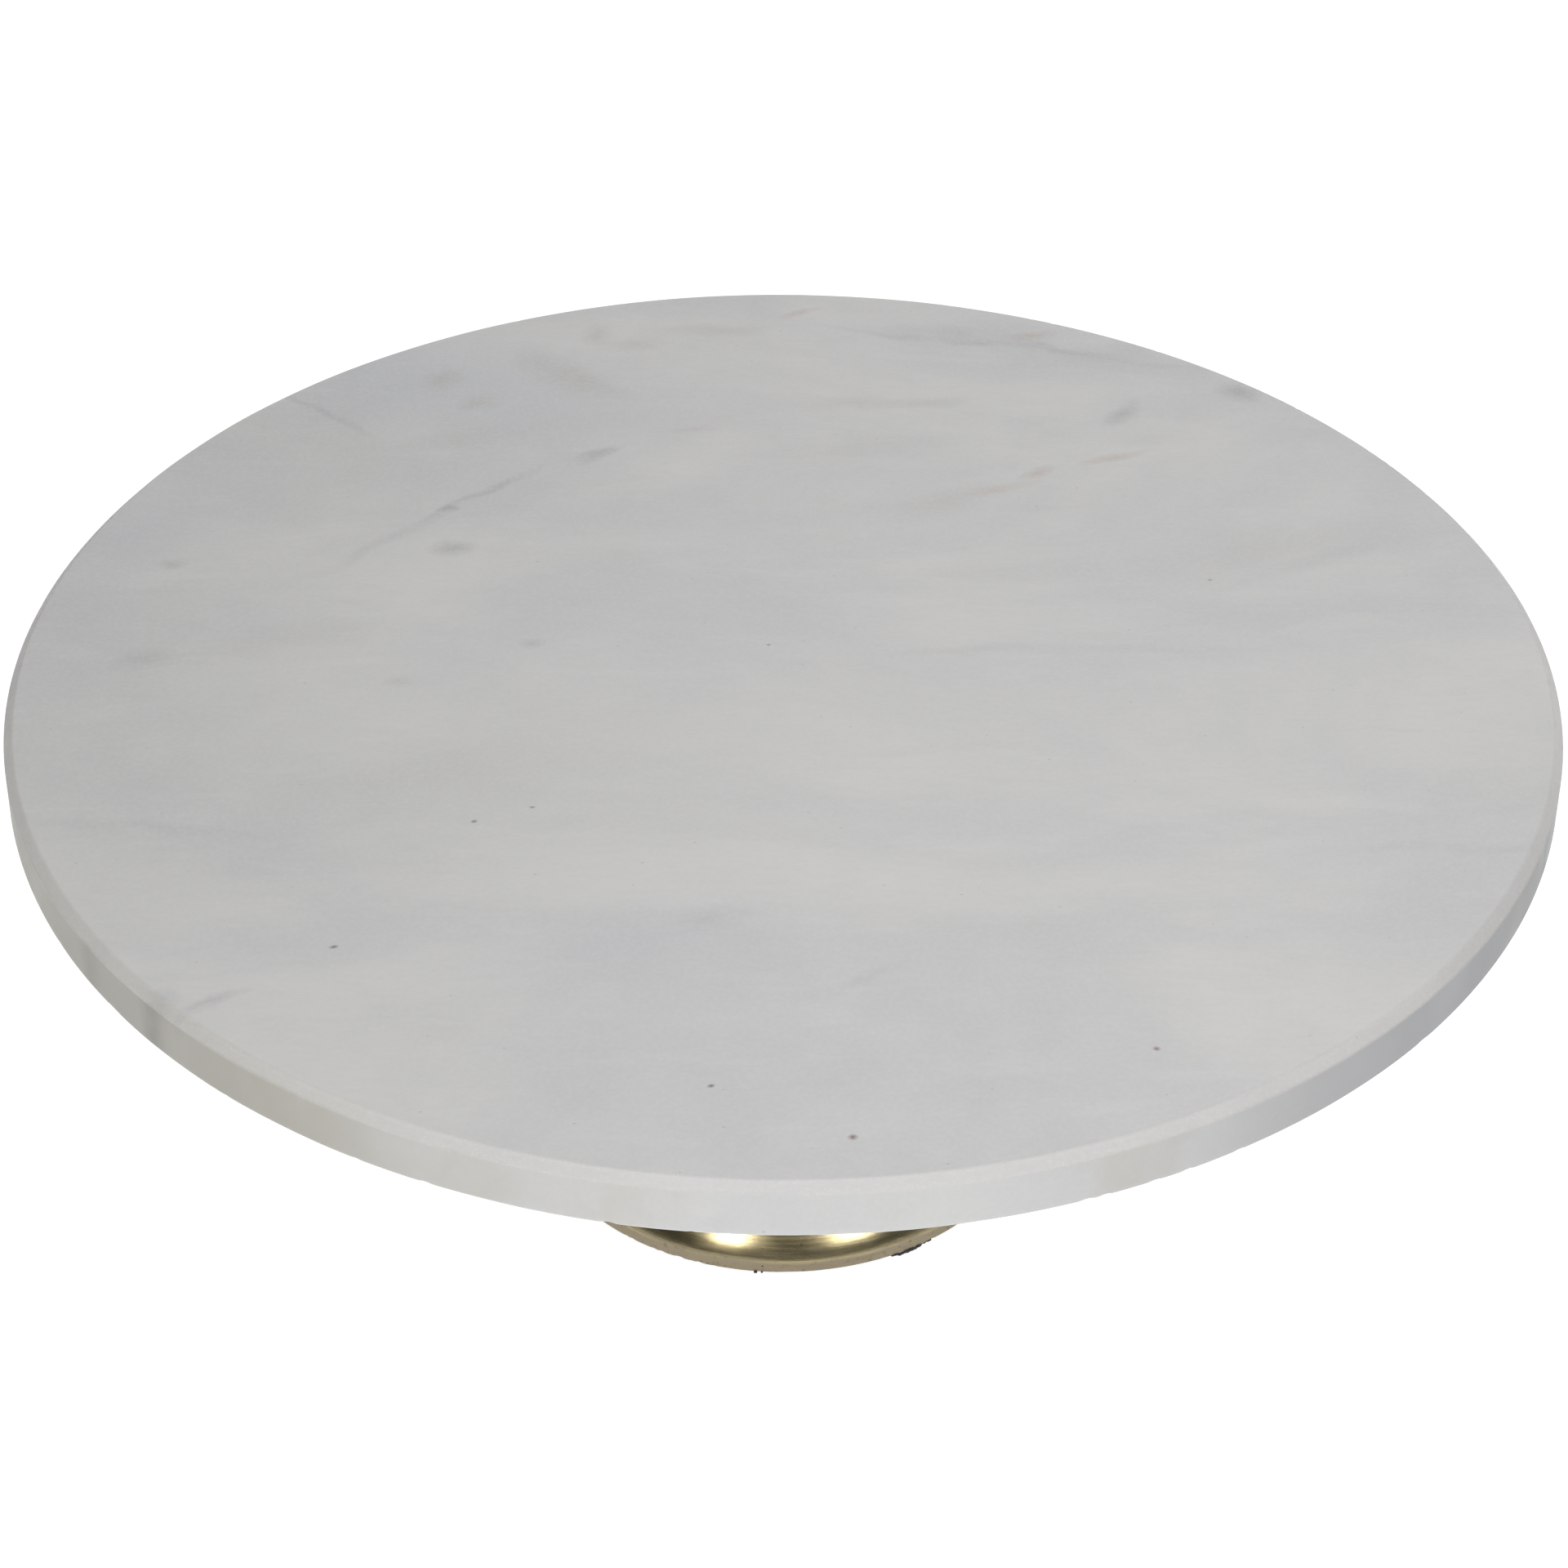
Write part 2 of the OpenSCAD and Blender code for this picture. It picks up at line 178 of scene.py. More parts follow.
def lathe(name, outline, count=256, wobble=None):
    """A closed outline of (r, z) turned about Z. wobble(r, z, angles) is added to r round the ring."""
    angles = np.arange(count) * TAU / count
    rings = [circle(r + (wobble(r, z, angles) if wobble else 0), z, count) for r, z in outline]
    return skin(name, rings, closed=True)


def joined(name, objects):
    """One object made of several."""
    with bpy.context.temp_override(active_object=objects[0], selected_editable_objects=objects):
        bpy.ops.object.join()
    objects[0].name = name
    return objects[0]


def wander(angles, waves, height, seed):
    """A wavy line that closes on itself: sines of up to that many waves, at most height high."""
    picker = random.Random(seed)
    line = np.zeros(len(angles))
    for k in range(1, waves + 1):
        line += picker.uniform(0.3, 1) * np.sin(k * angles + picker.uniform(0, TAU)) / math.sqrt(k)
    return height * line / np.abs(line).max()


def bites(angles, radius, how_many, depth, width, seed):
    """Depth of small bites out of an edge of that radius, at random places round it."""
    picker = random.Random(seed)
    line = np.zeros(len(angles))
    for _ in range(how_many):
        at = picker.uniform(0, TAU)
        size = picker.uniform(0.3, 1.0)
        away = np.abs((angles - at + math.pi) % TAU - math.pi) * radius / (width * size)
        line = np.maximum(line, depth * size * np.clip(1 - away ** 2, 0, 1))
    return line


# ---------------------------------------------------------------- threads, screws and nuts
def thread_ring(crest, depth, pitch, z, count, fade):
    """Ring of a helical thread. fade is 1 on the full thread and 0 where it has run out into the core."""
    turn = np.mod(z / pitch - np.arange(count) / count, 1.0)
    ridge = np.clip(1.3 - 1.6 * np.abs(2 * turn - 1), 0, 1)
    return circle(crest - depth * (1 - ridge * fade), z, count)


def shank(radius, pitch, length, count):
    """Rings of a threaded shank, from its chamfered end at z = -length up to z = 0."""
    depth = 0.55 * pitch
    rings = [circle(0.75 * (radius - depth), -length, count)]
    for z in np.linspace(-length + 0.1 * pitch, 0, int(length / pitch * 9)):
        fade = min(1, (z + length) / pitch, -z / pitch + 0.2)
        rings.append(thread_ring(radius, depth, pitch, z, count, fade))
    return rings


def hexagon(corner, z, count):
    """Ring of count points along a hexagon."""
    angles = np.mod(np.arange(count) * TAU / count, TAU / 6) - TAU / 12
    return circle(corner * math.cos(TAU / 12) / np.cos(angles), z, count)


def socket(corner, top, depth, count):
    """Rings of a hexagon socket, from its chamfered mouth at z = top down to its drilled floor."""
    lead = 0.12 * corner
    levels = [circle(corner + lead, top, count)]
    levels += [hexagon(corner, top - d, count) for d in (lead, 0.5 * depth, depth)]
    return levels + [circle(0.5 * corner, top - depth - lead, count)]


def button_screw(name, radius, pitch, length, head_r, head_h, count=48):
    """Button-head socket screw, with the underside of its head at z = 0 and its head up."""
    edge = 0.8 * head_h
    rings = shank(radius, pitch, length, count)
    rings.append(circle(0.95 * head_r, 0, count))
    rings += [circle(r, z, count) for r, z in arc((head_r - edge, head_h - edge), edge, -12, 90, 10)]
    return skin(name, rings + socket(0.65 * radius, head_h, 0.6 * head_h, count))


def countersunk_screw(name, radius, pitch, length, head_r, head_h, count=48):
    """Countersunk socket screw, with the flat of its head at z = 0."""
    rings = [ring - (0, 0, head_h) for ring in shank(radius, pitch, length - head_h, count)]
    rings += [circle(radius + (head_r - radius) * t, head_h * (t - 1), count) for t in (0.1, 0.5, 0.9)]
    rings += [circle(head_r, -0.06 * head_h, count), circle(0.97 * head_r, 0, count)]
    return skin(name, rings + socket(0.65 * radius, 0, 0.6 * head_h, count))


def hex_nut(name, low, high, count=96):
    """Hexagon nut with its corners turned off and a true thread in its bore."""
    height = high - low
    side = np.linalg.norm(hexagon(NUT_FLATS / math.sqrt(3), 0, count), axis=1)
    rings = []
    for t in (0, 0.03, 0.06, 0.09, 0.12, 0.16, 0.5, 0.84, 0.88, 0.91, 0.94, 0.97, 1):
        cone = NUT_FLATS / 2 + 2 * height * min(t, 1 - t)
        rings.append(circle(np.minimum(side, cone), low + height * t, count))
    depth = 0.5 * ROD_PITCH
    rings.append(circle(ROD_R + 0.4 * MM, high, count))
    for t in np.linspace(0.96, 0.04, 46):
        rings.append(thread_ring(ROD_R + 0.05 * MM + depth, depth, ROD_PITCH, low + height * t, count, 1))
    return skin(name, rings + [circle(ROD_R + 0.4 * MM, low, count)], closed=True)


def spring_washer(name, node):
    """One turn of rounded square wire, cut through at a slant."""
    low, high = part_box(node)
    outer = (high.x - low.x) / 2
    half_w = (outer - ROD_HOLE_R) / 2
    half_h = (high.z - low.z) / 2
    corners = [(-half_w, -half_h), (half_w, -half_h), (half_w, half_h), (-half_w, half_h)]
    wire = rounded(corners, 0.3 * MM)
    gap = math.radians(7)
    rings = []
    for t in np.linspace(0, 1, 121):
        slant = 0.07 * abs(2 * t - 1) ** 8
        ring = []
        for across, up in wire:
            a = gap / 2 + (TAU - gap) * t + slant * up / half_h
            r = outer - half_w + across
            ring.append((r * math.cos(a), r * math.sin(a), low.z + half_h + up))
        rings.append(np.array(ring))
    return skin(name, rings)


def on_circle(name, make, radius, start, z, head_down=False):
    """Four screws evenly placed on a circle, as one object, each turned by a different amount."""
    copies = []
    for i in range(4):
        copy = make(f"{name}_{i}")
        angle = start + i * TAU / 4
        flip = Matrix.Rotation(math.pi if head_down else 0, 4, "X")
        place = Matrix.Translation((radius * math.cos(angle), radius * math.sin(angle), z))
        copy.data.transform(place @ Matrix.Rotation(random.uniform(0, TAU), 4, "Z") @ flip)
        copies.append(copy)
    return joined(name, copies)


# ================================================================ materials
class Look:
    """A material being built. Each call adds nodes and returns the socket that carries their result."""

    def __init__(self, name):
        self.material = bpy.data.materials.new(name)
        self.material.use_nodes = True
        self.tree = self.material.node_tree
        self.shader = self.tree.nodes["Principled BSDF"]
        self.place = self.add("ShaderNodeTexCoord").outputs["Object"]

    def add(self, kind, **settings):
        made = self.tree.nodes.new(kind)
        for key, value in settings.items():
            setattr(made, key, value)
        return made

    def feed(self, target, value):
        if isinstance(value, bpy.types.NodeSocket):
            self.tree.links.new(value, target)
        elif target.type == "RGBA":
            target.default_value = (*value, 1)
        else:
            target.default_value = value

    def sum(self, operation, *values):
        made = self.add("ShaderNodeMath", operation=operation)
        for target, value in zip(made.inputs, values):
            self.feed(target, value)
        return made.outputs[0]

    def vector(self, operation, *values):
        made = self.add("ShaderNodeVectorMath", operation=operation)
        for target, value in zip(made.inputs, values):
            self.feed(target, value)
        return made.outputs["Value" if operation == "LENGTH" else "Vector"]

    def noise(self, scale, detail=4, rough=0.5, where=None, distortion=0.0, output="Fac"):
        made = self.add("ShaderNodeTexNoise")
        self.feed(made.inputs["Vector"], where or self.place)
        sockets = {"Scale": scale, "Detail": detail, "Roughness": rough, "Distortion": distortion}
        for key, value in sockets.items():
            made.inputs[key].default_value = value
        return made.outputs[output]

    def cells(self, scale, where=None):
        """Voronoi cells: (distance to the nearest point, a random number for each cell)."""
        made = self.add("ShaderNodeTexVoronoi")
        self.feed(made.inputs["Vector"], where or self.place)
        made.inputs["Scale"].default_value = scale
        return made.outputs["Distance"], self.axes(made.outputs["Color"])[0]

    def dots(self, scale, size, share, where=None):
        """Small round dots in that share of the cells: 1 inside a dot and 0 outside."""
        distance, number = self.cells(scale, where)
        chosen = self.sum("LESS_THAN", number, share)
        return self.sum("MULTIPLY", self.span(distance, size, 0.4 * size), chosen)

    def span(self, value, low, high, out_low=0.0, out_high=1.0):
        made = self.add("ShaderNodeMapRange", interpolation_type="SMOOTHSTEP")
        for target, v in zip(made.inputs, (value, low, high, out_low, out_high)):
            self.feed(target, v)
        return made.outputs[0]

    def mapped(self, angle, scale):
        made = self.add("ShaderNodeMapping")
        self.feed(made.inputs["Vector"], self.place)
        made.inputs["Rotation"].default_value = (0, 0, angle)
        made.inputs["Scale"].default_value = scale
        return made.outputs[0]

    def spot(self, where, x, y, angle, length, width):
        """Soft elliptical spot, 1 in its middle and 0 outside, that runs right through the object in Z."""
        local = self.add("ShaderNodeMapping", vector_type="TEXTURE")
        self.feed(local.inputs["Vector"], where)
        local.inputs["Location"].default_value = (x, y, 0)
        local.inputs["Rotation"].default_value = (0, 0, math.radians(angle))
        local.inputs["Scale"].default_value = (length, width, 1000)
        ball = self.add("ShaderNodeTexGradient", gradient_type="SPHERICAL")
        self.feed(ball.inputs[0], local.outputs[0])
        return ball.outputs["Fac"]

    def mix(self, share, a, b):
        made = self.add("ShaderNodeMix", data_type="RGBA")
        self.feed(made.inputs[0], share)
        self.feed(made.inputs[6], a)
        self.feed(made.inputs[7], b)
        return made.outputs[2]

    def bump(self, height, strength, distance, under=None):
        made = self.add("ShaderNodeBump")
        made.inputs["Strength"].default_value = strength
        made.inputs["Distance"].default_value = distance
        self.feed(made.inputs["Height"], height)
        if under:
            self.feed(made.inputs["Normal"], under)
        return made.outputs[0]

    def axes(self, where=None):
        made = self.add("ShaderNodeSeparateXYZ")
        self.feed(made.inputs[0], where or self.place)
        return made.outputs

    def radius(self):
        return self.vector("LENGTH", self.vector("MULTIPLY", self.place, (1, 1, 0)))

    def turned(self, along, across):
        """Coordinates that draw a texture out round the Z axis, as a lathe tool leaves it."""
        x, y, z = self.axes()
        made = self.add("ShaderNodeCombineXYZ")
        self.feed(made.inputs[0], self.sum("MULTIPLY", self.sum("ARCTAN2", y, x), along))
        self.feed(made.inputs[1], self.sum("MULTIPLY", self.radius(), across))
        self.feed(made.inputs[2], self.sum("MULTIPLY", z, across))
        return made.outputs[0]

    def set(self, **sockets):
        for key, value in sockets.items():
            self.feed(self.shader.inputs[key.replace("_", " ")], value)
        return self.material


# ---------------------------------------------------------------- marble
GRAIN_ANGLE = math.radians(14)
# Marks and patches on the stone, and patches of painted shade on its side. Each is x, y, angle, half
# length, half width and strength, with the angle in degrees and the lengths in disc radii.
VEINS = [
    (0.33, 0.84, -11, 0.32, 0.012, 0.7), (0.25, 0.87, -12, 0.16, 0.030, 0.5),
    (0.48, 0.80, -10, 0.20, 0.035, 0.4), (-0.65, 0.63, -41, 0.10, 0.011, 0.9),
    (-0.42, 0.43, 44, 0.12, 0.009, 0.9), (-0.54, 0.31, 42, 0.18, 0.013, 0.5),
    (0.33, 0.05, 2, 0.26, 0.014, 0.4), (0.08, -0.64, 24, 0.11, 0.016, 0.4),
    (-0.68, -0.70, 31, 0.06, 0.010, 0.8), (-0.80, -0.34, -3, 0.24, 0.016, 0.3),
    (0.80, -0.37, 4, 0.18, 0.015, 0.3), (0.72, 0.26, 27, 0.20, 0.025, 0.25)]
SMUDGES = [
    (-0.45, 0.29, 8, 0.036, 0.025, 0.9), (-0.26, 0.53, 38, 0.045, 0.018, 0.9),
    (0.48, 0.65, 60, 0.055, 0.020, 0.8), (0.65, 0.71, -28, 0.040, 0.028, 0.9),
    (-0.33, 0.06, 0, 0.024, 0.016, 0.6), (-0.83, 0.02, 12, 0.055, 0.028, 0.5),
    (-0.82, 0.25, 10, 0.022, 0.015, 0.6), (-0.46, 0.39, 20, 0.018, 0.012, 1.0),
    (-0.50, -0.03, 0, 0.028, 0.018, 0.4), (0.20, 0.68, 4, 0.080, 0.020, 0.4),
    (-0.09, -0.52, 14, 0.060, 0.030, 0.3), (-0.73, -0.69, 0, 0.035, 0.045, 0.8)]
BLOTCHES = [
    (-0.28, 0.86, 60, 0.036, 0.034, 0.8), (-0.22, 0.84, 10, 0.070, 0.020, 0.6),
    (-0.49, 0.73, 0, 0.046, 0.030, 0.9), (-0.43, 0.67, 30, 0.046, 0.024, 0.9),
    (-0.33, 0.76, -55, 0.120, 0.040, 0.6), (-0.27, 0.72, -30, 0.080, 0.038, 0.6),
    (-0.10, 0.88, 10, 0.110, 0.022, 0.5), (0.10, 0.68, 6, 0.085, 0.030, 0.6),
    (0.23, 0.42, 20, 0.100, 0.030, 0.5), (-0.45, 0.57, 14, 0.110, 0.028, 0.4),
    (0.08, 0.55, 12, 0.200, 0.040, 0.3), (0.66, 0.29, 14, 0.240, 0.065, 0.3),
    (-0.62, 0.06, 12, 0.170, 0.055, 0.3), (-0.44, -0.22, 17, 0.280, 0.070, 0.25)]
CLOUDS = [
    (-0.50, 0.72, -8, 0.36, 0.18, 1.0), (-0.86, 0.33, 40, 0.22, 0.11, 0.6),
    (0.30, 0.83, -12, 0.36, 0.12, 0.5), (-0.06, 0.10, 20, 0.28, 0.14, 0.4),
    (0.74, 0.62, -38, 0.26, 0.13, 0.5), (-0.18, -0.55, 15, 0.32, 0.10, 0.6),
    (0.56, 0.10, 8, 0.38, 0.15, 0.4), (0.78, -0.38, 10, 0.26, 0.09, 0.5),
    (-0.93, 0.06, 80, 0.22, 0.08, 0.5)]
# Broad grey patches that darken the top, mostly towards its left and back left
BROAD = [
    (-0.98, 0.10, 90, 0.85, 0.50, 1.0), (-0.62, 0.62, -42, 0.62, 0.36, 0.8),
    (-0.45, -0.25, 20, 0.60, 0.30, 0.5), (0.95, -0.35, 60, 0.45, 0.25, 0.4)]
# Painted shade on the stone's side: warm towards its left end, cool towards its right end
WARM_SIDE_SHADE = [
    (-1.02, -0.05, 90, 0.95, 0.70, 1.1), (-0.80, -0.62, -52, 0.52, 0.34, 1.35),
    (-0.50, -0.88, -28, 0.40, 0.30, 0.40), (0.92, -0.40, 66, 0.30, 0.25, 0.60)]
COOL_SIDE_SHADE = [
    (0.84, -0.56, 56, 0.50, 0.40, 1.40), (0.56, -0.84, 30, 0.40, 0.30, 0.35),
    (1.0, 0.0, 90, 0.50, 0.30, 0.5)]
SIDE_SMUDGES = [
    (-0.823, -0.568, 35, 0.030, 0.030, 0.45), (-0.735, -0.678, 42, 0.012, 0.030, 0.7),
    (0.975, -0.22, 0, 0.010, 0.020, 0.8), (0.94, -0.34, 0, 0.012, 0.025, 0.7)]
RUST = [
    (0.35, 0.49, 24, 0.034, 0.012, 1.0), (0.30, 0.45, 20, 0.060, 0.014, 0.7),
    (0.46, 0.53, 20, 0.055, 0.011, 0.9), (0.02, 0.93, 30, 0.045, 0.010, 0.9),
    (0.36, 0.87, 10, 0.045, 0.015, 0.8), (-0.13, 0.60, 10, 0.045, 0.012, 0.4)]
RED_SPECKS = [
    (0.080, -0.917, 0, 0.0070, 0.0060, 1.0), (0.430, -0.760, 0, 0.0055, 0.0050, 1.0)]
DARK_SPECKS = [
    (-0.53, -0.58, 20, 0.007, 0.004, 1.0), (-0.08, -0.83, 20, 0.006, 0.004, 1.0),
    (-0.38, -0.33, 20, 0.005, 0.004, 1.0), (-0.31, -0.30, 0, 0.005, 0.003, 0.8),
    (-0.02, 0.06, 0, 0.004, 0.003, 0.8), (0.57, 0.22, 0, 0.004, 0.003, 0.7)]


def marks(look, rows, share, where=None):
    """Soft spots, one for each row, added together and scaled to share."""
    total = 0.0
    for x, y, angle, length, width, strength in rows:
        sizes = [STONE_R * value for value in (length, width)]
        spot = look.spot(where or look.place, x * STONE_R, y * STONE_R, angle, *sizes)
        total = look.sum("MULTIPLY_ADD", spot, strength * share, total)
    return look.sum("MINIMUM", total, share)


def warped(look, scale, amount):
    """Coordinates pushed about by noise, so that what is drawn in them wanders."""
    push = look.vector("SUBTRACT", look.noise(scale, 5, output="Color"), (0.5, 0.5, 0.5))
    return look.vector("MULTIPLY_ADD", push, (amount, amount, 0), look.place)


# Colours of the stone, of what marks it, and of the painted shade on its side
STONE_COOL = (0.680, 0.684, 0.688)
STONE_WARM = (0.741, 0.741, 0.730)
STREAK_DARK = (0.640, 0.640, 0.625)
STREAK_PALE = (0.795, 0.792, 0.785)
BROAD_GREY = (0.590, 0.598, 0.590)
CLOUD_BLUE = (0.610, 0.628, 0.668)
BLOTCH_BROWN = (0.545, 0.530, 0.495)
SMUDGE_GREY = (0.400, 0.400, 0.405)
VEIN_GREY = (0.420, 0.415, 0.440)
RUST_BROWN = (0.540, 0.425, 0.350)
SPECK_RED = (0.170, 0.060, 0.045)
SPECK_DARK = (0.120, 0.110, 0.085)
PORE_GREY = (0.360, 0.350, 0.330)
SILK_GREY = (0.660, 0.660, 0.655)
SUGAR_WHITE = (0.800, 0.800, 0.800)
# painted shade over the whole side
SIDE_SHADE_GREY = (0.37, 0.355, 0.33)
SAWN_BLUE = (0.46, 0.48, 0.54)
SAWN_BROWN = (0.50, 0.44, 0.35)
# painted shade towards the side's left and right ends
SIDE_SHADE_WARM = (0.290, 0.268, 0.205)
SIDE_SHADE_COOL = (0.285, 0.286, 0.300)
SAWN_SMUDGE = (0.22, 0.22, 0.21)
BEVEL_PINK = (0.800, 0.760, 0.720)
GLINT_PAINT_WHITE = (0.96, 0.95, 0.93)


def marble_look():
    look = Look("marble")
    grain = look.mapped(-GRAIN_ANGLE, (1, 4.5, 2.5))
    clouds = look.noise(8, 6, 0.60, look.mapped(-GRAIN_ANGLE, (1, 2.0, 2)), 0.6)
    streaks = look.noise(26, 7, 0.62, grain, 0.6)
    silk = look.noise(130, 5, 0.6, grain)
    sugar = look.noise(900, 3, 0.6)
    wide = warped(look, 14, 0.022)
    loose = warped(look, 34, 0.016)
    tight = warped(look, 90, 0.006)

    colour = look.mix(look.span(clouds, 0.38, 0.62), STONE_COOL, STONE_WARM)
    colour = look.mix(marks(look, BROAD, 0.60, wide), colour, BROAD_GREY)
    colour = look.mix(marks(look, CLOUDS, 0.72, wide), colour, CLOUD_BLUE)
    colour = look.mix(look.span(streaks, 0.54, 0.76, 0, 0.30), colour, STREAK_DARK)
    colour = look.mix(look.span(streaks, 0.46, 0.30, 0, 0.22), colour, STREAK_PALE)
    colour = look.mix(marks(look, BLOTCHES, 0.60, loose), colour, BLOTCH_BROWN)
    colour = look.mix(marks(look, SMUDGES, 0.62, tight), colour, SMUDGE_GREY)
    broken = look.span(look.noise(60, 4), 0.34, 0.58, 0.35, 1.0)
    veins = look.sum("MULTIPLY", marks(look, VEINS, 0.58, loose), broken)
    colour = look.mix(veins, colour, VEIN_GREY)
    colour = look.mix(marks(look, RUST, 0.50, tight), colour, RUST_BROWN)
    colour = look.mix(marks(look, RED_SPECKS, 1.0), colour, SPECK_RED)
    colour = look.mix(marks(look, DARK_SPECKS, 1.0), colour, SPECK_DARK)
    pores = look.dots(210, 0.085, 0.13, look.mapped(-GRAIN_ANGLE, (1, 1.8, 1)))
    colour = look.mix(look.sum("MULTIPLY", pores, 0.55), colour, PORE_GREY)
    colour = look.mix(look.span(silk, 0.40, 0.66, 0, 0.16), colour, SILK_GREY)
    colour = look.mix(look.span(sugar, 0.35, 0.70, 0, 0.22), colour, SUGAR_WHITE)

    # the side is darkened all round as painted shade and mottled, and further painted shade darkens it,
    # warm towards the left and cool towards the right
    edge = look.span(look.radius(), STONE_R - 1.4 * BEVEL, STONE_R - 0.9 * BEVEL)
    sawn = look.span(look.axes()[2], STONE_HIGH.z - 0.8 * BEVEL, STONE_HIGH.z - 1.2 * BEVEL)
    side = look.sum("MULTIPLY", edge, sawn)
    mottle = look.noise(20, 5, 0.55, look.mapped(0, (1, 1, 0.6)), 0.5)
    bluish = look.span(mottle, 0.50, 0.68, 0, 0.26)
    brownish = look.span(mottle, 0.48, 0.32, 0, 0.26)
    rim = look.sum("MULTIPLY_ADD", side, 0.70, look.sum("MULTIPLY", edge, 0.30))
    # painted shade: the whole side made darker
    colour = look.mix(look.sum("MULTIPLY", side, 0.31), colour, SIDE_SHADE_GREY)
    colour = look.mix(look.sum("MULTIPLY", side, bluish), colour, SAWN_BLUE)
    colour = look.mix(look.sum("MULTIPLY", side, brownish), colour, SAWN_BROWN)
    # painted shade towards the side's ends, and a little on the bevel above them
    colour = look.mix(look.sum("MULTIPLY", rim, marks(look, WARM_SIDE_SHADE, 0.62, wide)), colour, SIDE_SHADE_WARM)
    colour = look.mix(look.sum("MULTIPLY", rim, marks(look, COOL_SIDE_SHADE, 0.68, wide)), colour, SIDE_SHADE_COOL)
    smudges = marks(look, SIDE_SMUDGES, 0.70, tight)
    colour = look.mix(look.sum("MULTIPLY", side, smudges), colour, SAWN_SMUDGE)

    # the ground bevel shows broken crystals: a little paler and rougher, with a few grains painted white
    # as glints
    ground = look.span(look.axes()[2], STONE_HIGH.z - 1.3 * BEVEL, STONE_HIGH.z - BEVEL)
    bevel = look.sum("MULTIPLY", edge, ground)
    crystal, glint = look.cells(3200)
    # painted glints: a few crystal grains made white
    bright = look.span(glint, 0.88, 0.98, 0, 0.16)
    colour = look.mix(look.sum("MULTIPLY", bevel, 0.22), colour, BEVEL_PINK)
    colour = look.mix(look.sum("MULTIPLY", bevel, bright), colour, GLINT_PAINT_WHITE)
    gloss = look.sum("MULTIPLY_ADD", edge, 0.10, look.span(look.noise(60, 5), 0.3, 0.7, 0.33, 0.45))

    fine = look.sum("MULTIPLY_ADD", silk, 2.0, sugar)
    normal = look.bump(look.sum("MULTIPLY_ADD", pores, -6.0, fine), 0.10, 0.06 * MM)
    normal = look.bump(look.sum("MULTIPLY", bevel, crystal), 0.20, 0.2 * MM, normal)
    return look.set(Base_Color=colour, Roughness=gloss, Normal=normal, Specular_IOR_Level=0.42,
                    Subsurface_Weight=0.18, Subsurface_Radius=(0.010, 0.009, 0.008), Subsurface_Scale=0.25)


# ---------------------------------------------------------------- metals
BRASS = (0.50, 0.415, 0.225)
BRASS_PATINA = (0.33, 0.262, 0.140)
BRASS_BRIGHT = (0.72, 0.63, 0.43)
BRASS_GRIME = (0.33, 0.245, 0.115)
# rubbed brass near the floor, darkened as painted shade for the shadowed floor it mirrors
BRASS_WEAR_AND_SHADE = (0.29, 0.245, 0.180)
BRASS_DIRT = (0.16, 0.125, 0.075)
BRASS_PIT = (0.10, 0.075, 0.04)
STEEL_TARNISH = (0.36, 0.35, 0.33)
STEEL_RUST = (0.24, 0.16, 0.10)


def brass_look(name, shaded_wear_below=None):
    """Old turned brass: spun lines, patina, grime and pits. Below the height given it is rubbed and dirty,
    and darkened as painted shade for the shadowed floor that it mirrors.
    """
    look = Look(name)
    lines = look.noise(1.0, 5, 0.62, look.turned(2.2, 1500))
    tool = look.noise(1.0, 4, 0.55, look.turned(1.1, 380))
    patina = look.noise(55, 7, 0.62, look.mapped(0, (1, 1, 2.4)), 0.5)
    grime = look.noise(240, 5, 0.6)
    colour = look.mix(look.span(patina, 0.42, 0.72, 0, 0.62), BRASS, BRASS_PATINA)
    colour = look.mix(look.span(lines, 0.38, 0.68, 0, 0.32), colour, BRASS_BRIGHT)
    colour = look.mix(look.span(grime, 0.60, 0.74, 0, 0.45), colour, BRASS_GRIME)
    gloss = look.sum("ADD", look.span(patina, 0.3, 0.7, 0.17, 0.25), look.span(lines, 0.2, 0.8, 0, 0.05))
    pits = look.dots(420, 0.17, 0.18)
    if shaded_wear_below is not None:
        # near the floor: rubbed and dirty, and darkened as painted shade for the shadowed floor the rim
        # mirrors
        uneven = look.sum("MULTIPLY_ADD", patina, 4.0 * MM, look.axes()[2])
        wear_and_shade = look.span(uneven, shaded_wear_below + 3.4 * MM, shaded_wear_below + 1.6 * MM)
        colour = look.mix(look.sum("MULTIPLY", wear_and_shade, 0.85), colour, BRASS_WEAR_AND_SHADE)
        dirt = look.span(look.noise(700, 5, 0.65), 0.56, 0.70, 0, 0.7)
        colour = look.mix(look.sum("MULTIPLY", wear_and_shade, dirt), colour, BRASS_DIRT)
        gloss = look.sum("MULTIPLY_ADD", wear_and_shade, 0.30, gloss)
    colour = look.mix(look.sum("MULTIPLY", pits, 0.85), colour, BRASS_PIT)
    height = look.sum("SUBTRACT", look.sum("MULTIPLY_ADD", tool, 1.5, lines), pits)
    normal = look.bump(height, 0.30, 0.05 * MM)
    normal = look.bump(look.noise(28, 3), 0.20, 0.8 * MM, normal)
    return look.set(Base_Color=colour, Metallic=1.0, Roughness=gloss, Normal=normal)


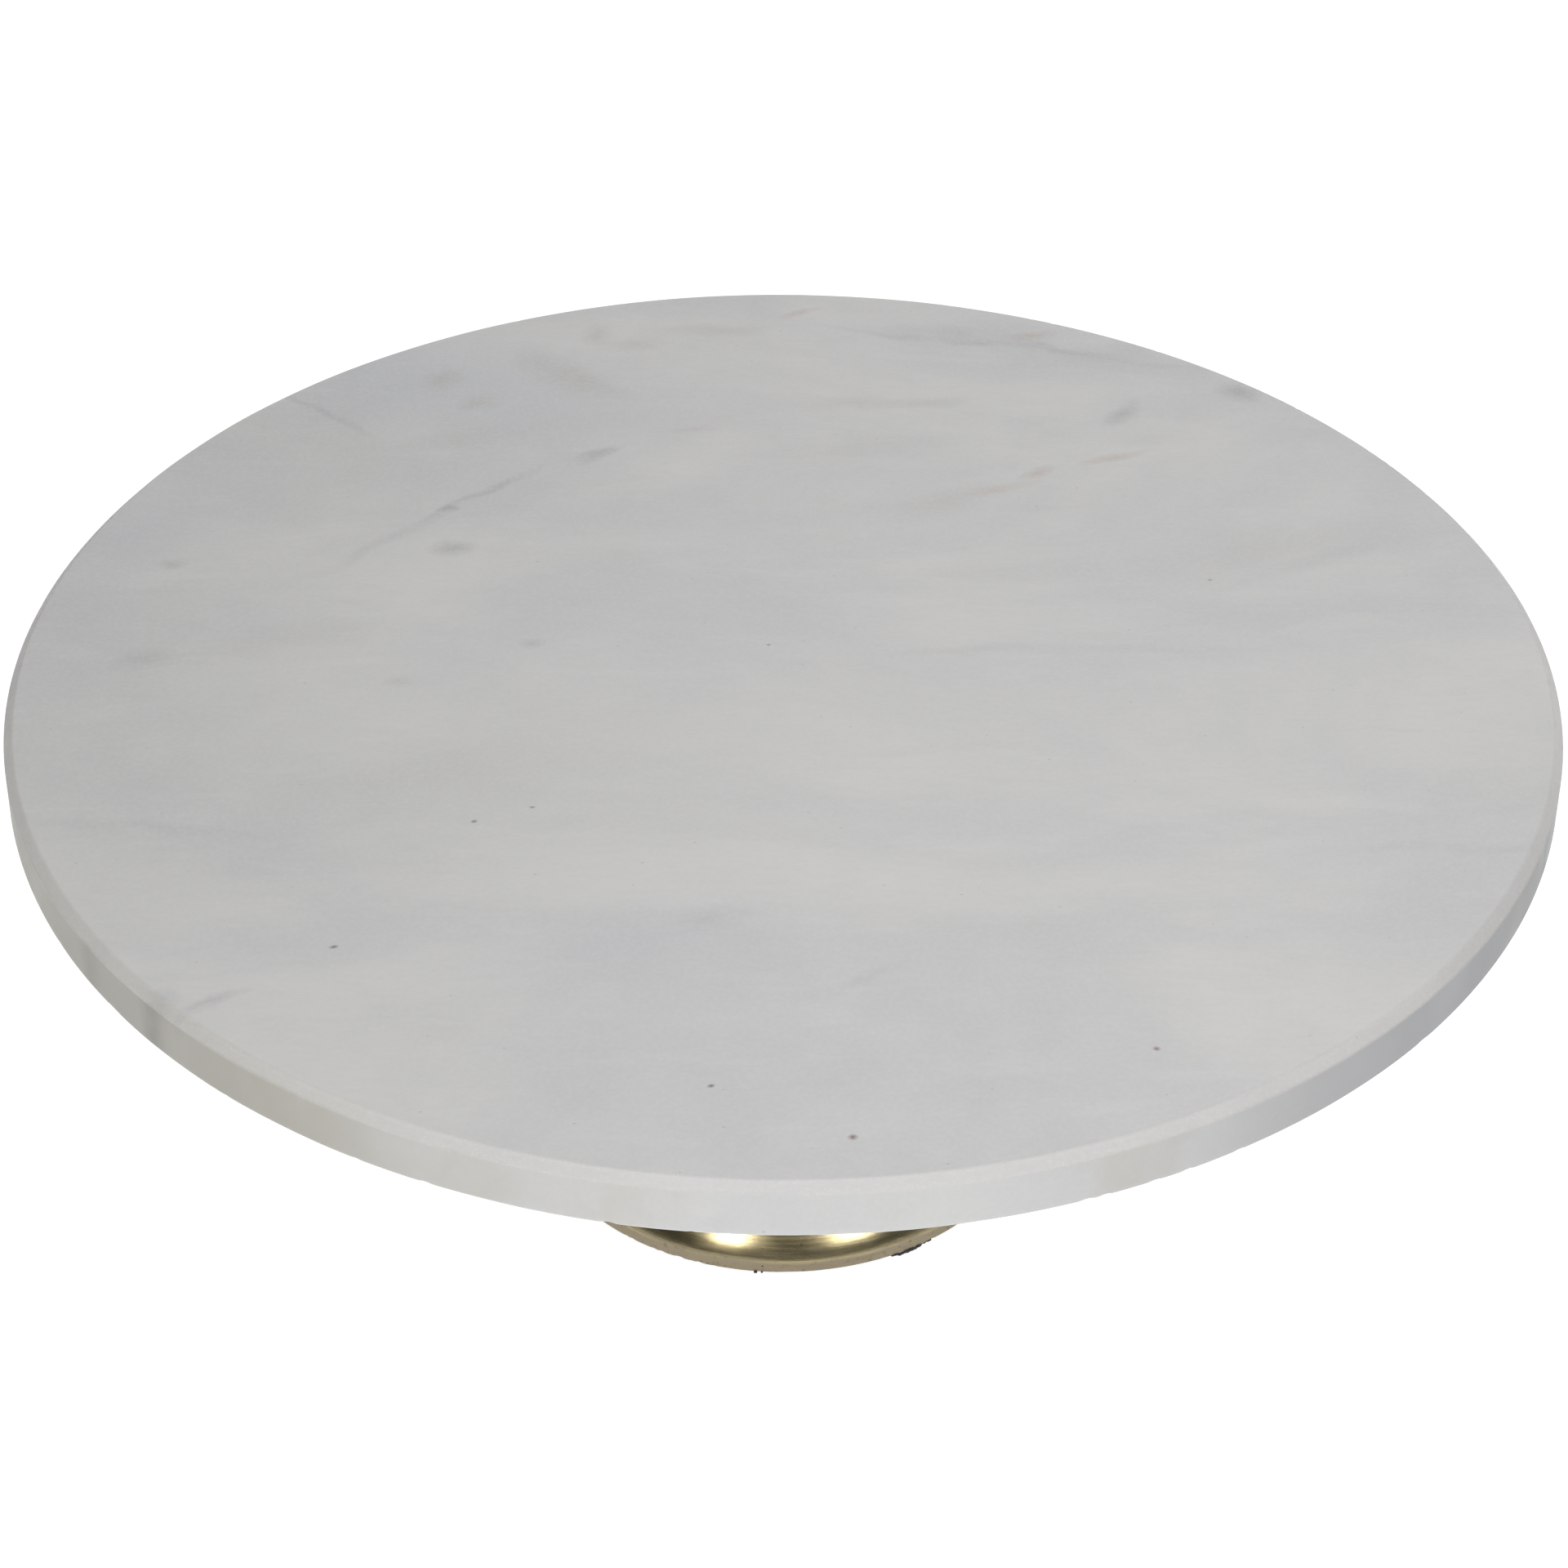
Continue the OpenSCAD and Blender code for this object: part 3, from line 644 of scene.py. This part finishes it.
def steel_look(name, tint, rough, along=1.6, across=900, tarnish=0.35):
    """Plated or ground steel: turning lines, handling marks and a few rust freckles."""
    look = Look(name)
    turning = look.noise(1.0, 5, 0.6, look.turned(along, across))
    clouds = look.noise(120, 6, 0.6)
    bright = tuple(min(1, 1.18 * value) for value in tint)
    colour = look.mix(look.span(clouds, 0.45, 0.72, 0, tarnish), tint, STEEL_TARNISH)
    colour = look.mix(look.span(turning, 0.35, 0.75, 0, 0.25), colour, bright)
    colour = look.mix(look.span(look.noise(420, 6, 0.7), 0.66, 0.74, 0, 0.5), colour, STEEL_RUST)
    smears = look.span(clouds, 0.3, 0.7, rough, rough + 0.13)
    gloss = look.sum("ADD", smears, look.span(turning, 0.2, 0.8, 0, 0.06))
    height = look.sum("MULTIPLY_ADD", turning, 2.5, look.noise(1400, 3))
    normal = look.bump(height, 0.25, 0.02 * MM)
    return look.set(Base_Color=colour, Metallic=1.0, Roughness=gloss, Normal=normal)


def ball_look():
    look = Look("ball_steel")
    smear = look.noise(260, 5, 0.6)
    colour = look.mix(look.span(smear, 0.4, 0.7, 0, 0.4), (0.82, 0.82, 0.83), (0.66, 0.64, 0.60))
    return look.set(Base_Color=colour, Metallic=1.0, Roughness=look.span(smear, 0.3, 0.7, 0.06, 0.16),
                    Normal=look.bump(look.noise(1800, 2), 0.05, 0.02 * MM))


# ---------------------------------------------------------------- felt, rubber and nylon
def felt_look():
    look = Look("felt")
    fibres = look.noise(1600, 6, 0.75, look.mapped(0.5, (1, 2.6, 1)), 1.2)
    clumps = look.noise(180, 5, 0.6)
    colour = look.mix(look.span(fibres, 0.35, 0.75), (0.010, 0.010, 0.011), (0.060, 0.058, 0.056))
    colour = look.mix(look.span(clumps, 0.45, 0.70, 0, 0.5), colour, (0.030, 0.027, 0.024))
    colour = look.mix(look.dots(500, 0.10, 0.04), colour, (0.30, 0.29, 0.27))
    return look.set(Base_Color=colour, Roughness=look.span(clumps, 0.3, 0.7, 0.88, 1.0), Sheen_Weight=0.35,
                    Normal=look.bump(look.sum("MULTIPLY_ADD", clumps, 0.6, fibres), 0.9, 0.3 * MM))


def rubber_look():
    look = Look("cushion_rubber")
    bloom = look.noise(90, 6, 0.6)
    colour = look.mix(look.span(bloom, 0.45, 0.72), (0.022, 0.021, 0.020), (0.062, 0.060, 0.056))
    return look.set(Base_Color=colour, Roughness=look.span(bloom, 0.3, 0.7, 0.55, 0.75),
                    Normal=look.bump(look.noise(1500, 3), 0.3, 0.1 * MM))


def nylon_look():
    look = Look("cage_nylon")
    flow = look.noise(1.0, 5, 0.6, look.turned(3.0, 260))
    grease = look.noise(160, 6, 0.65)
    colour = look.mix(look.span(flow, 0.35, 0.70), (0.74, 0.71, 0.60), (0.83, 0.81, 0.72))
    colour = look.mix(look.span(grease, 0.55, 0.72, 0, 0.55), colour, (0.48, 0.40, 0.26))
    gloss = look.span(grease, 0.35, 0.7, 0.45, 0.26)
    normal = look.bump(look.sum("ADD", flow, look.noise(900, 3)), 0.2, 0.1 * MM)
    return look.set(Base_Color=colour, Roughness=gloss, Normal=normal, Subsurface_Weight=0.12,
                    Subsurface_Radius=(0.002, 0.002, 0.0015), Subsurface_Scale=0.5)


# ================================================================ pieces that stand for CAD nodes
def place(piece, look, body, slot_name, node):
    """Gives a new piece its material and its body, and hides the CAD node that it stands for. slot_name is
    not used.
    """
    piece.data.materials.clear()
    piece.data.materials.append(look)
    piece.modifiers.new("even_normals", "WEIGHTED_NORMAL").keep_sharp = True
    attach(piece, body)
    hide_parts(node)


def marble_disc():
    """The stone: its bevel and arrises are ground by hand, so they wander a little and have tiny chips."""
    count = 1440
    angles = np.arange(count) * TAU / count
    low, high, soft = STONE_LOW.z, STONE_HIGH.z, 0.3 * MM
    inner = STONE_R - BEVEL + wander(angles, 40, 0.11 * MM, 3)
    outer = high - BEVEL + wander(angles, 44, 0.10 * MM, 4)
    lower = low + LOWER_ARRIS + wander(angles, 50, 0.12 * MM, 5)
    inset = LOWER_ARRIS + wander(angles, 50, 0.10 * MM, 6)
    top_bites = bites(angles, STONE_R, 34, 0.25 * MM, 1.0 * MM, 11)
    rim_bites = bites(angles, STONE_R, 30, 0.20 * MM, 1.2 * MM, 12)
    low_bites = bites(angles, STONE_R, 60, 0.40 * MM, 1.8 * MM, 13)
    levels = [(STONE_R * t, high) for t in (0.1, 0.3, 0.5, 0.7, 0.85, 0.95, 0.98)]
    for t in np.linspace(0, 1, 5):
        r = inner + soft * (2 * t - 1) - top_bites * (1 - t)
        levels.append((r, high - soft * t * t - top_bites * t))
    for t in np.linspace(0.2, 0.8, 4):
        levels.append((inner + (STONE_R - inner) * t, high - (high - outer) * t - soft * (1 - t) * 0.3))
    for t in np.linspace(0, 1, 5):
        levels.append((STONE_R - soft * (1 - t) ** 2 - rim_bites * (1 - t), outer + soft * (1 - 2 * t)))
    for t in np.linspace(0.2, 0.8, 4):
        levels.append((STONE_R, outer + (lower - outer) * t))
    for t in np.linspace(0, 1, 4):
        levels.append((STONE_R - soft * t * t - low_bites * t, lower + soft * (1 - 2 * t)))
    levels.append((STONE_R - 0.5 * inset - low_bites, (lower + low) / 2))
    levels.append((STONE_R - inset - low_bites, low))
    disc = skin("marble_disc", [circle(r, z, count) for r, z in levels], open_end=True)
    close_underside(disc)
    return disc


def close_underside(disc):
    """Closes the stone with a flat face that has a blind hole for each threaded bush."""
    bush_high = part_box("stone_inserts")[1]
    hole_r = INSERT_R + SLIP
    floor = bush_high.z + 1.0 * MM
    drill_tip = floor + 1.2 * MM
    profile = [(hole_r, STONE_LOW.z), (hole_r, bush_high.z), (hole_r, floor), (0.1 * MM, drill_tip)]
    shape = bmesh.new()
    shape.from_mesh(disc.data)
    border = [edge for edge in shape.edges if edge.is_boundary]
    for i in range(4):
        turn = Matrix.Rotation(i * TAU / 4, 4, "Z") @ Matrix.Translation((bush_high.x - INSERT_R, 0, 0))
        levels = []
        for radius, z in profile:
            levels.append([shape.verts.new(turn @ Vector(p)) for p in circle(radius, z, 48)])
        for a, b in zip(levels, levels[1:]):
            for k in range(48):
                shape.faces.new((a[k - 1], a[k], b[k], b[k - 1]))
        shape.faces.new(levels[-1])
        border += [shape.edges.get((levels[0][k - 1], levels[0][k])) for k in range(48)]
    bmesh.ops.triangle_fill(shape, use_beauty=True, edges=border, normal=(0, 0, -1))
    finish_shape(disc, shape)


def foot_curves():
    """Centres and radii of the foot's rounded shoulder and of the hollow sweep above it."""
    start, lean = math.radians(SHOULDER_START), math.radians(SHOULDER_LEAN)
    edge = (FOOT_R - EDGE_R, FOOT_LOW.z + FOOT_EDGE_H)
    further = EDGE_R - SHOULDER_R
    shoulder = (edge[0] + further * math.cos(start), edge[1] + further * math.sin(start))
    end_r = shoulder[0] + SHOULDER_R * math.cos(lean)
    sweep_r = (end_r - NECK_R) / (1 - math.cos(lean))
    sweep = (NECK_R + sweep_r, shoulder[1] + SHOULDER_R * math.sin(lean) + sweep_r * math.sin(lean))
    return edge, shoulder, sweep, sweep_r


def cast_foot():
    """The hollow brass foot, with a rim that is dented and worn uneven where it stands."""
    edge, shoulder, sweep, sweep_r = foot_curves()
    neck_z = COLLAR_LOW.z
    web_z = neck_z - WEB
    rebate_z = FOOT_LOW.z + PLATE_T
    inner_end = math.degrees(math.acos((sweep[1] - web_z) / (sweep_r + WALL)))
    rebate_lean = math.degrees(math.asin((rebate_z - shoulder[1]) / (SHOULDER_R - WALL)))
    outline = [(FOOT_R, FOOT_LOW.z + FOOT_EDGE_H * t) for t in (0, 0.25, 0.5, 0.75)]
    outline += arc(edge, EDGE_R, 0, SHOULDER_START, 5)
    outline += arc(shoulder, SHOULDER_R, SHOULDER_START, SHOULDER_LEAN, 24)[1:]
    outline += arc(sweep, sweep_r, 180 + SHOULDER_LEAN, 180, 48)[1:]
    outline += [(NECK_R, neck_z), (SPIGOT_R, neck_z), (SPIGOT_R, FOOT_HIGH.z), (ROD_HOLE_R, FOOT_HIGH.z)]
    outline += [(ROD_HOLE_R, web_z)] + arc(sweep, sweep_r + WALL, 270 - inner_end, 180 + SHOULDER_LEAN, 32)
    outline += arc(shoulder, SHOULDER_R - WALL, SHOULDER_LEAN, rebate_lean, 12)[1:]
    outline += [(FOOT_R - RIM_WALL, rebate_z), (FOOT_R - RIM_WALL, FOOT_LOW.z)]

    def dents(r, z, angles):
        near_floor = max(0, 1 - (z - FOOT_LOW.z) / (1.5 * MM))
        if r < FOOT_R - 1 * MM or near_floor == 0:
            return 0
        uneven = 0.08 * MM + wander(angles, 60, 0.08 * MM, 21)
        return -near_floor * (uneven + bites(angles, FOOT_R, 46, 0.35 * MM, 1.4 * MM, 22))

    return lathe("cast_foot", rounded(outline, 0.35 * MM), 720, dents)


def bead_collar():
    """The bead between foot and head, bored for the rod and recessed at both ends for the spigots."""
    bead_r = (COLLAR_HIGH.z - COLLAR_LOW.z) / 2
    recess_r = SPIGOT_R + SLIP
    shelf_low, shelf_high = COLLAR_LOW.z + SPIGOT_H, COLLAR_HIGH.z - SPIGOT_H
    outline = [(recess_r, COLLAR_LOW.z)] + arc((NECK_R, COLLAR_LOW.z + bead_r), bead_r, -90, 90, 32)
    outline += [(recess_r, COLLAR_HIGH.z), (recess_r, shelf_high), (ROD_HOLE_R, shelf_high)]
    outline += [(ROD_HOLE_R, shelf_low), (recess_r, shelf_low)]
    return lathe("bead_collar", rounded(outline, 0.15 * MM))


def pressed_plate():
    """The steel plate that closes the foot, with its pressed cup for the lower nut."""
    bend = 1.5 * PLATE_T
    low, high = PLATE_LOW.z, PLATE_HIGH.z
    hole_r = FELT_HOLE_R
    cup_r = hole_r - PLATE_T
    outline = [(PLATE_R, low), (PLATE_R, low + PLATE_T)]
    outline += arc((hole_r + bend, low + PLATE_T + bend), bend, 270, 180, 12)
    outline += arc((hole_r - bend, high - bend), bend, 0, 90, 12)
    outline += [(ROD_HOLE_R, high), (ROD_HOLE_R, high - PLATE_T)]
    outline += arc((cup_r - bend / 3, high - PLATE_T - bend / 3), bend / 3, 90, 0, 8) + [(cup_r, low)]
    return lathe("pressed_plate", rounded(outline, 0.3 * MM))


def threaded_rod():
    low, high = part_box("tie_rod")
    rings = shank(ROD_R, ROD_PITCH, high.z - low.z, 48)
    return skin("threaded_rod", [ring + (0, 0, high.z) for ring in rings])


def screws_up(name, node, radius, pitch, head_r, head_h):
    """Four button-head screws driven upward from below."""
    low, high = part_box(node)
    length = high.z - low.z - head_h

    def make(copy):
        return button_screw(copy, radius, pitch, length, head_r, head_h)

    return on_circle(name, make, high.x - head_r, 0, low.z + head_h, head_down=True)


def race_screws():
    """Four countersunk screws, driven down through the plate under the stone."""
    low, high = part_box("race_screws")
    head_r, head_h = 4.0 * MM, 2.1 * MM

    def make(copy):
        return countersunk_screw(copy, M4_R, M4_PITCH, high.z - low.z, head_r, head_h)

    return on_circle("countersunk_screws", make, (high.x - head_r) * math.sqrt(2), TAU / 8, high.z)


# ---------------------------------------------------------------- felt
FELT_HOLE_R = 15.0 * MM
# Torn felt past the rim: angle from the front and half width in degrees, reach past the felt's edge
TEARS = [(30.2, 3.8, 2.3 * MM), (27.0, 1.2, 1.7 * MM), (35.5, 2.2, 1.5 * MM), (112.0, 3.0, 2.0 * MM),
         (205.0, 4.0, 1.8 * MM), (248.0, 1.5, 2.2 * MM)]
# Lumps squeezed out over the edge: angle from the front in degrees, and half sizes out, along and up
LUMPS = [(30.0, (0.35 * MM, 1.5 * MM, 0.35 * MM)), (32.4, (0.30 * MM, 0.8 * MM, 0.45 * MM)),
         (26.6, (0.25 * MM, 0.8 * MM, 0.30 * MM)), (-5.6, (0.40 * MM, 0.40 * MM, 0.35 * MM)),
         (-4.2, (0.25 * MM, 0.22 * MM, 0.25 * MM))]


def ragged_edge(r, z, angles):
    """How far the felt's outer edge strays from its circle."""
    if r < FELT_R - 1 * MM:
        return 0
    edge = wander(angles, 90, 0.3 * MM, 31) - bites(angles, FELT_R, 60, 0.7 * MM, 2.0 * MM, 32)
    fray = 0.75 + 0.25 * wander(angles, 700, 1.0, 33 + int(z / (0.2 * MM)))
    for angle, half_width, reach in TEARS:
        away = (np.degrees(angles - FRONT) - angle + 180) % 360 - 180
        tongue = np.clip(1.6 * (1 - (away / half_width) ** 2), 0, 1)
        edge = np.maximum(edge, reach * fray * tongue - 0.2 * MM)
    return edge


def shred(name, angle, size):
    """A lump of matted felt squeezed out over the rim's edge."""
    shape = bmesh.new()
    bmesh.ops.create_icosphere(shape, subdivisions=4, radius=1)
    for corner in shape.verts:
        lump = 1 + 0.45 * noise.noise(3.1 * corner.co + Vector((angle, 0, 0)))
        lump += 0.25 * noise.noise(9.7 * corner.co + Vector((0, angle, 0)))
        corner.co = Vector((corner.co.x * size[0], corner.co.y * size[1], corner.co.z * size[2])) * lump
    mesh = bpy.data.meshes.new(name)
    made = bpy.data.objects.new(name, mesh)
    bpy.context.scene.collection.objects.link(made)
    finish_shape(made, shape, 180)
    turn = FRONT + math.radians(angle)
    r = FOOT_R - 0.1 * MM
    spot = Matrix.Translation((r * math.cos(turn), r * math.sin(turn), 1.5 * MM))
    mesh.transform(spot @ Matrix.Rotation(turn, 4, "Z"))
    return made


def fibres(name, how_many):
    """Loose hairs round the felt's edge: thin three-sided tubes."""
    picker = random.Random(41)
    points = []
    faces = []
    for _ in range(how_many):
        turn = picker.uniform(0, TAU)
        r = FELT_R - 0.3 * MM
        spot = Vector((r * math.cos(turn), r * math.sin(turn), picker.uniform(0.1, 1.4) * MM))
        way = Vector((math.cos(turn), math.sin(turn), 0))
        across = Vector((-math.sin(turn), math.cos(turn), 0))
        thick = picker.uniform(0.015, 0.03) * MM
        for step in range(5):
            first = len(points)
            for k in range(3):
                a = k * TAU / 3
                points.append(spot + thick * (across * math.cos(a) + Vector((0, 0, math.sin(a)))))
            if step:
                for k in range(3):
                    ahead = (k + 1) % 3
                    faces.append((first - 3 + k, first - 3 + ahead, first + ahead, first + k))
            way += Vector([picker.uniform(-0.5, 0.5) for _ in range(3)])
            spot = spot + way.normalized() * 0.2 * MM
            spot.z = max(0.05 * MM, min(1.6 * MM, spot.z))
    return solid(name, points, faces)


def felt_ring():
    """The felt under the foot, frayed and torn where it has been dragged over a table."""
    low, high = FELT_LOW.z, FELT_HIGH.z
    steps = [(FELT_R, low + (high - low) * t) for t in (0, 0.2, 0.4, 0.6, 0.8, 1)]
    outline = rounded([(FELT_HOLE_R, low)] + steps + [(FELT_HOLE_R, high)], 0.15 * MM)
    ring = lathe("felt_ring", outline, 2400, ragged_edge)
    lumps = [shred(f"lump_{i}", angle, size) for i, (angle, size) in enumerate(LUMPS)]
    return joined("felt_ring", [ring, *lumps, fibres("hairs", 260)])


# ================================================================ the object
def dress():
    """Builds every piece and gives every CAD node that stays a material."""
    cast_brass = brass_look("brass")
    plated = steel_look("plated_steel", (0.66, 0.66, 0.65), 0.26)
    screw_steel = steel_look("screw_steel", (0.60, 0.60, 0.60), 0.22, 5, 400)
    ground = steel_look("bearing_steel", (0.62, 0.62, 0.63), 0.18, 0.8, 1400, 0.2)
    spring = steel_look("spring_steel", (0.30, 0.29, 0.29), 0.34)
    place(marble_disc(), marble_look(), TURNTABLE, "marble", "marble_top")
    place(cast_foot(), brass_look("brass_foot", FOOT_LOW.z + FOOT_EDGE_H), PEDESTAL, "brass", "foot")
    place(felt_ring(), felt_look(), PEDESTAL, "felt", "felt_pad")
    place(bead_collar(), cast_brass, PEDESTAL, "brass", "collar")
    place(pressed_plate(), plated, PEDESTAL, "plated_steel", "bottom_plate")
    place(threaded_rod(), plated, PEDESTAL, "plated_steel", "tie_rod")
    for side in ("lower", "upper"):
        node = f"tie_rod_{side}_nut"
        low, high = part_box(node)
        place(hex_nut(f"{side}_nut", low.z, high.z), plated, PEDESTAL, "plated_steel", node)
    split = spring_washer("split_washer", "tie_rod_spring_washer")
    place(split, spring, PEDESTAL, "spring_steel", "tie_rod_spring_washer")
    flange_screws = screws_up("flange_socket_screws", "flange_screws", M4_R, M4_PITCH, 4.0 * MM, 2.6 * MM)
    place(flange_screws, screw_steel, PEDESTAL, "screw_steel", "flange_screws")
    stone_screws = screws_up("stone_socket_screws", "stone_screws", M5_R, M5_PITCH, 4.6 * MM, 3.2 * MM)
    place(stone_screws, screw_steel, TURNTABLE, "screw_steel", "stone_screws")
    place(race_screws(), screw_steel, TURNTABLE, "screw_steel", "race_screws")
    kept = {"head": cast_brass, "top_plate": cast_brass, "stone_inserts": brass_look("insert_brass"),
            "bearing_lower_race": ground, "bearing_upper_race": ground, "bearing_balls": ball_look(),
            "bearing_cage": nylon_look(), "cushion_ring": rubber_look(), "bearing_retainer": plated,
            "flange_screw_washers": plated, "stone_screw_washers": plated, "tie_rod_lower_washer": plated,
            "tie_rod_upper_washer": plated}
    for node, look in kept.items():
        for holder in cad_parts[node].material_slots:
            holder.material = look


# ================================================================ floor, light and camera
VIEW_ELEVATION = math.radians(36.09)
VIEW_ROLL = math.radians(0.288)
VIEW_LENS = 94.67
VIEW_DISTANCE = 5.448 * STONE_R
VIEW_TARGET = Vector((0.0011, 0, 0.5632)) * STONE_R


def camera():
    forward = Vector((0, math.cos(VIEW_ELEVATION), -math.sin(VIEW_ELEVATION)))
    right = Matrix.Rotation(VIEW_ROLL, 3, -forward) @ Vector((1, 0, 0))
    data = bpy.data.cameras.new("camera")
    data.lens = VIEW_LENS
    eye = bpy.data.objects.new("camera", data)
    bpy.context.scene.collection.objects.link(eye)
    turn = Matrix((right, right.cross(forward), -forward)).transposed()
    eye.matrix_world = Matrix.Translation(VIEW_TARGET - forward * VIEW_DISTANCE) @ turn.to_4x4()
    bpy.context.scene.camera = eye


FLOOR_GREY = (0.45, 0.45, 0.45, 1)
FLOOR_GLOW = (0.97, 0.985, 1.0, 1)
ROOM_DIM = (0.9, 0.92, 1.0, 1)
ROOM_PALE = (0.87, 0.88, 0.89, 1)


def softbox(name, azimuth, elevation, distance, size, brightness, colour):
    """A rectangular lamp aimed at the foot. Azimuth in degrees from the front, positive to the right."""
    data = bpy.data.lights.new(name, "AREA")
    data.shape = "RECTANGLE"
    data.size, data.size_y = size
    data.energy = brightness * math.pi * size[0] * size[1]
    data.color = colour
    lamp = bpy.data.objects.new(name, data)
    bpy.context.scene.collection.objects.link(lamp)
    turn = FRONT + math.radians(azimuth)
    rise = math.radians(elevation)
    toward = Vector((math.cos(rise) * math.cos(turn), math.cos(rise) * math.sin(turn), math.sin(rise)))
    lamp.location = toward * distance
    lamp.rotation_euler = toward.to_track_quat("Z", "Y").to_euler()
    lamp.visible_camera = False


def studio():
    """Pale floor, a dim room and soft lamps."""
    bpy.ops.mesh.primitive_plane_add(size=24, location=(0, 0, CAD_BOX[0].z - 0.02 * MM))
    floor = bpy.context.object
    floor.name = "floor"
    paper = bpy.data.materials.new("paper")
    paper.use_nodes = True
    shader = paper.node_tree.nodes["Principled BSDF"]
    shader.inputs["Base Color"].default_value = FLOOR_GREY
    shader.inputs["Roughness"].default_value = 0.9
    shader.inputs["Specular IOR Level"].default_value = 0.1
    shader.inputs["Emission Color"].default_value = FLOOR_GLOW
    shader.inputs["Emission Strength"].default_value = 0.88
    floor.data.materials.append(paper)

    world = bpy.data.worlds.new("room")
    world.use_nodes = True
    bpy.context.scene.world = world
    nodes, links = world.node_tree.nodes, world.node_tree.links
    room = nodes["Background"]
    room.inputs["Color"].default_value = ROOM_DIM
    room.inputs["Strength"].default_value = 0.045
    pale = nodes.new("ShaderNodeBackground")
    pale.inputs["Color"].default_value = ROOM_PALE
    seen = nodes.new("ShaderNodeLightPath")
    choice = nodes.new("ShaderNodeMixShader")
    links.new(seen.outputs["Is Camera Ray"], choice.inputs[0])
    links.new(room.outputs[0], choice.inputs[1])
    links.new(pale.outputs[0], choice.inputs[2])
    links.new(choice.outputs[0], nodes["World Output"].inputs["Surface"])

    softbox("left_softbox", -22.5, 30, 1.9, (0.28, 0.56), 13.0, (1.0, 0.99, 0.975))
    softbox("right_softbox", 31, 30, 1.9, (0.46, 0.56), 7.0, (0.99, 0.995, 1.0))
    softbox("front_panel", 0, 56, 2.2, (1.2, 0.6), 5.4, (1.0, 0.99, 0.98))
    softbox("back_panel", 155, 60, 1.5, (1.1, 0.8), 3.1, (1.0, 0.99, 0.98))
    bpy.context.scene.view_settings.view_transform = "Standard"


dress()
camera()
studio()
bpy.context.view_layer.update()
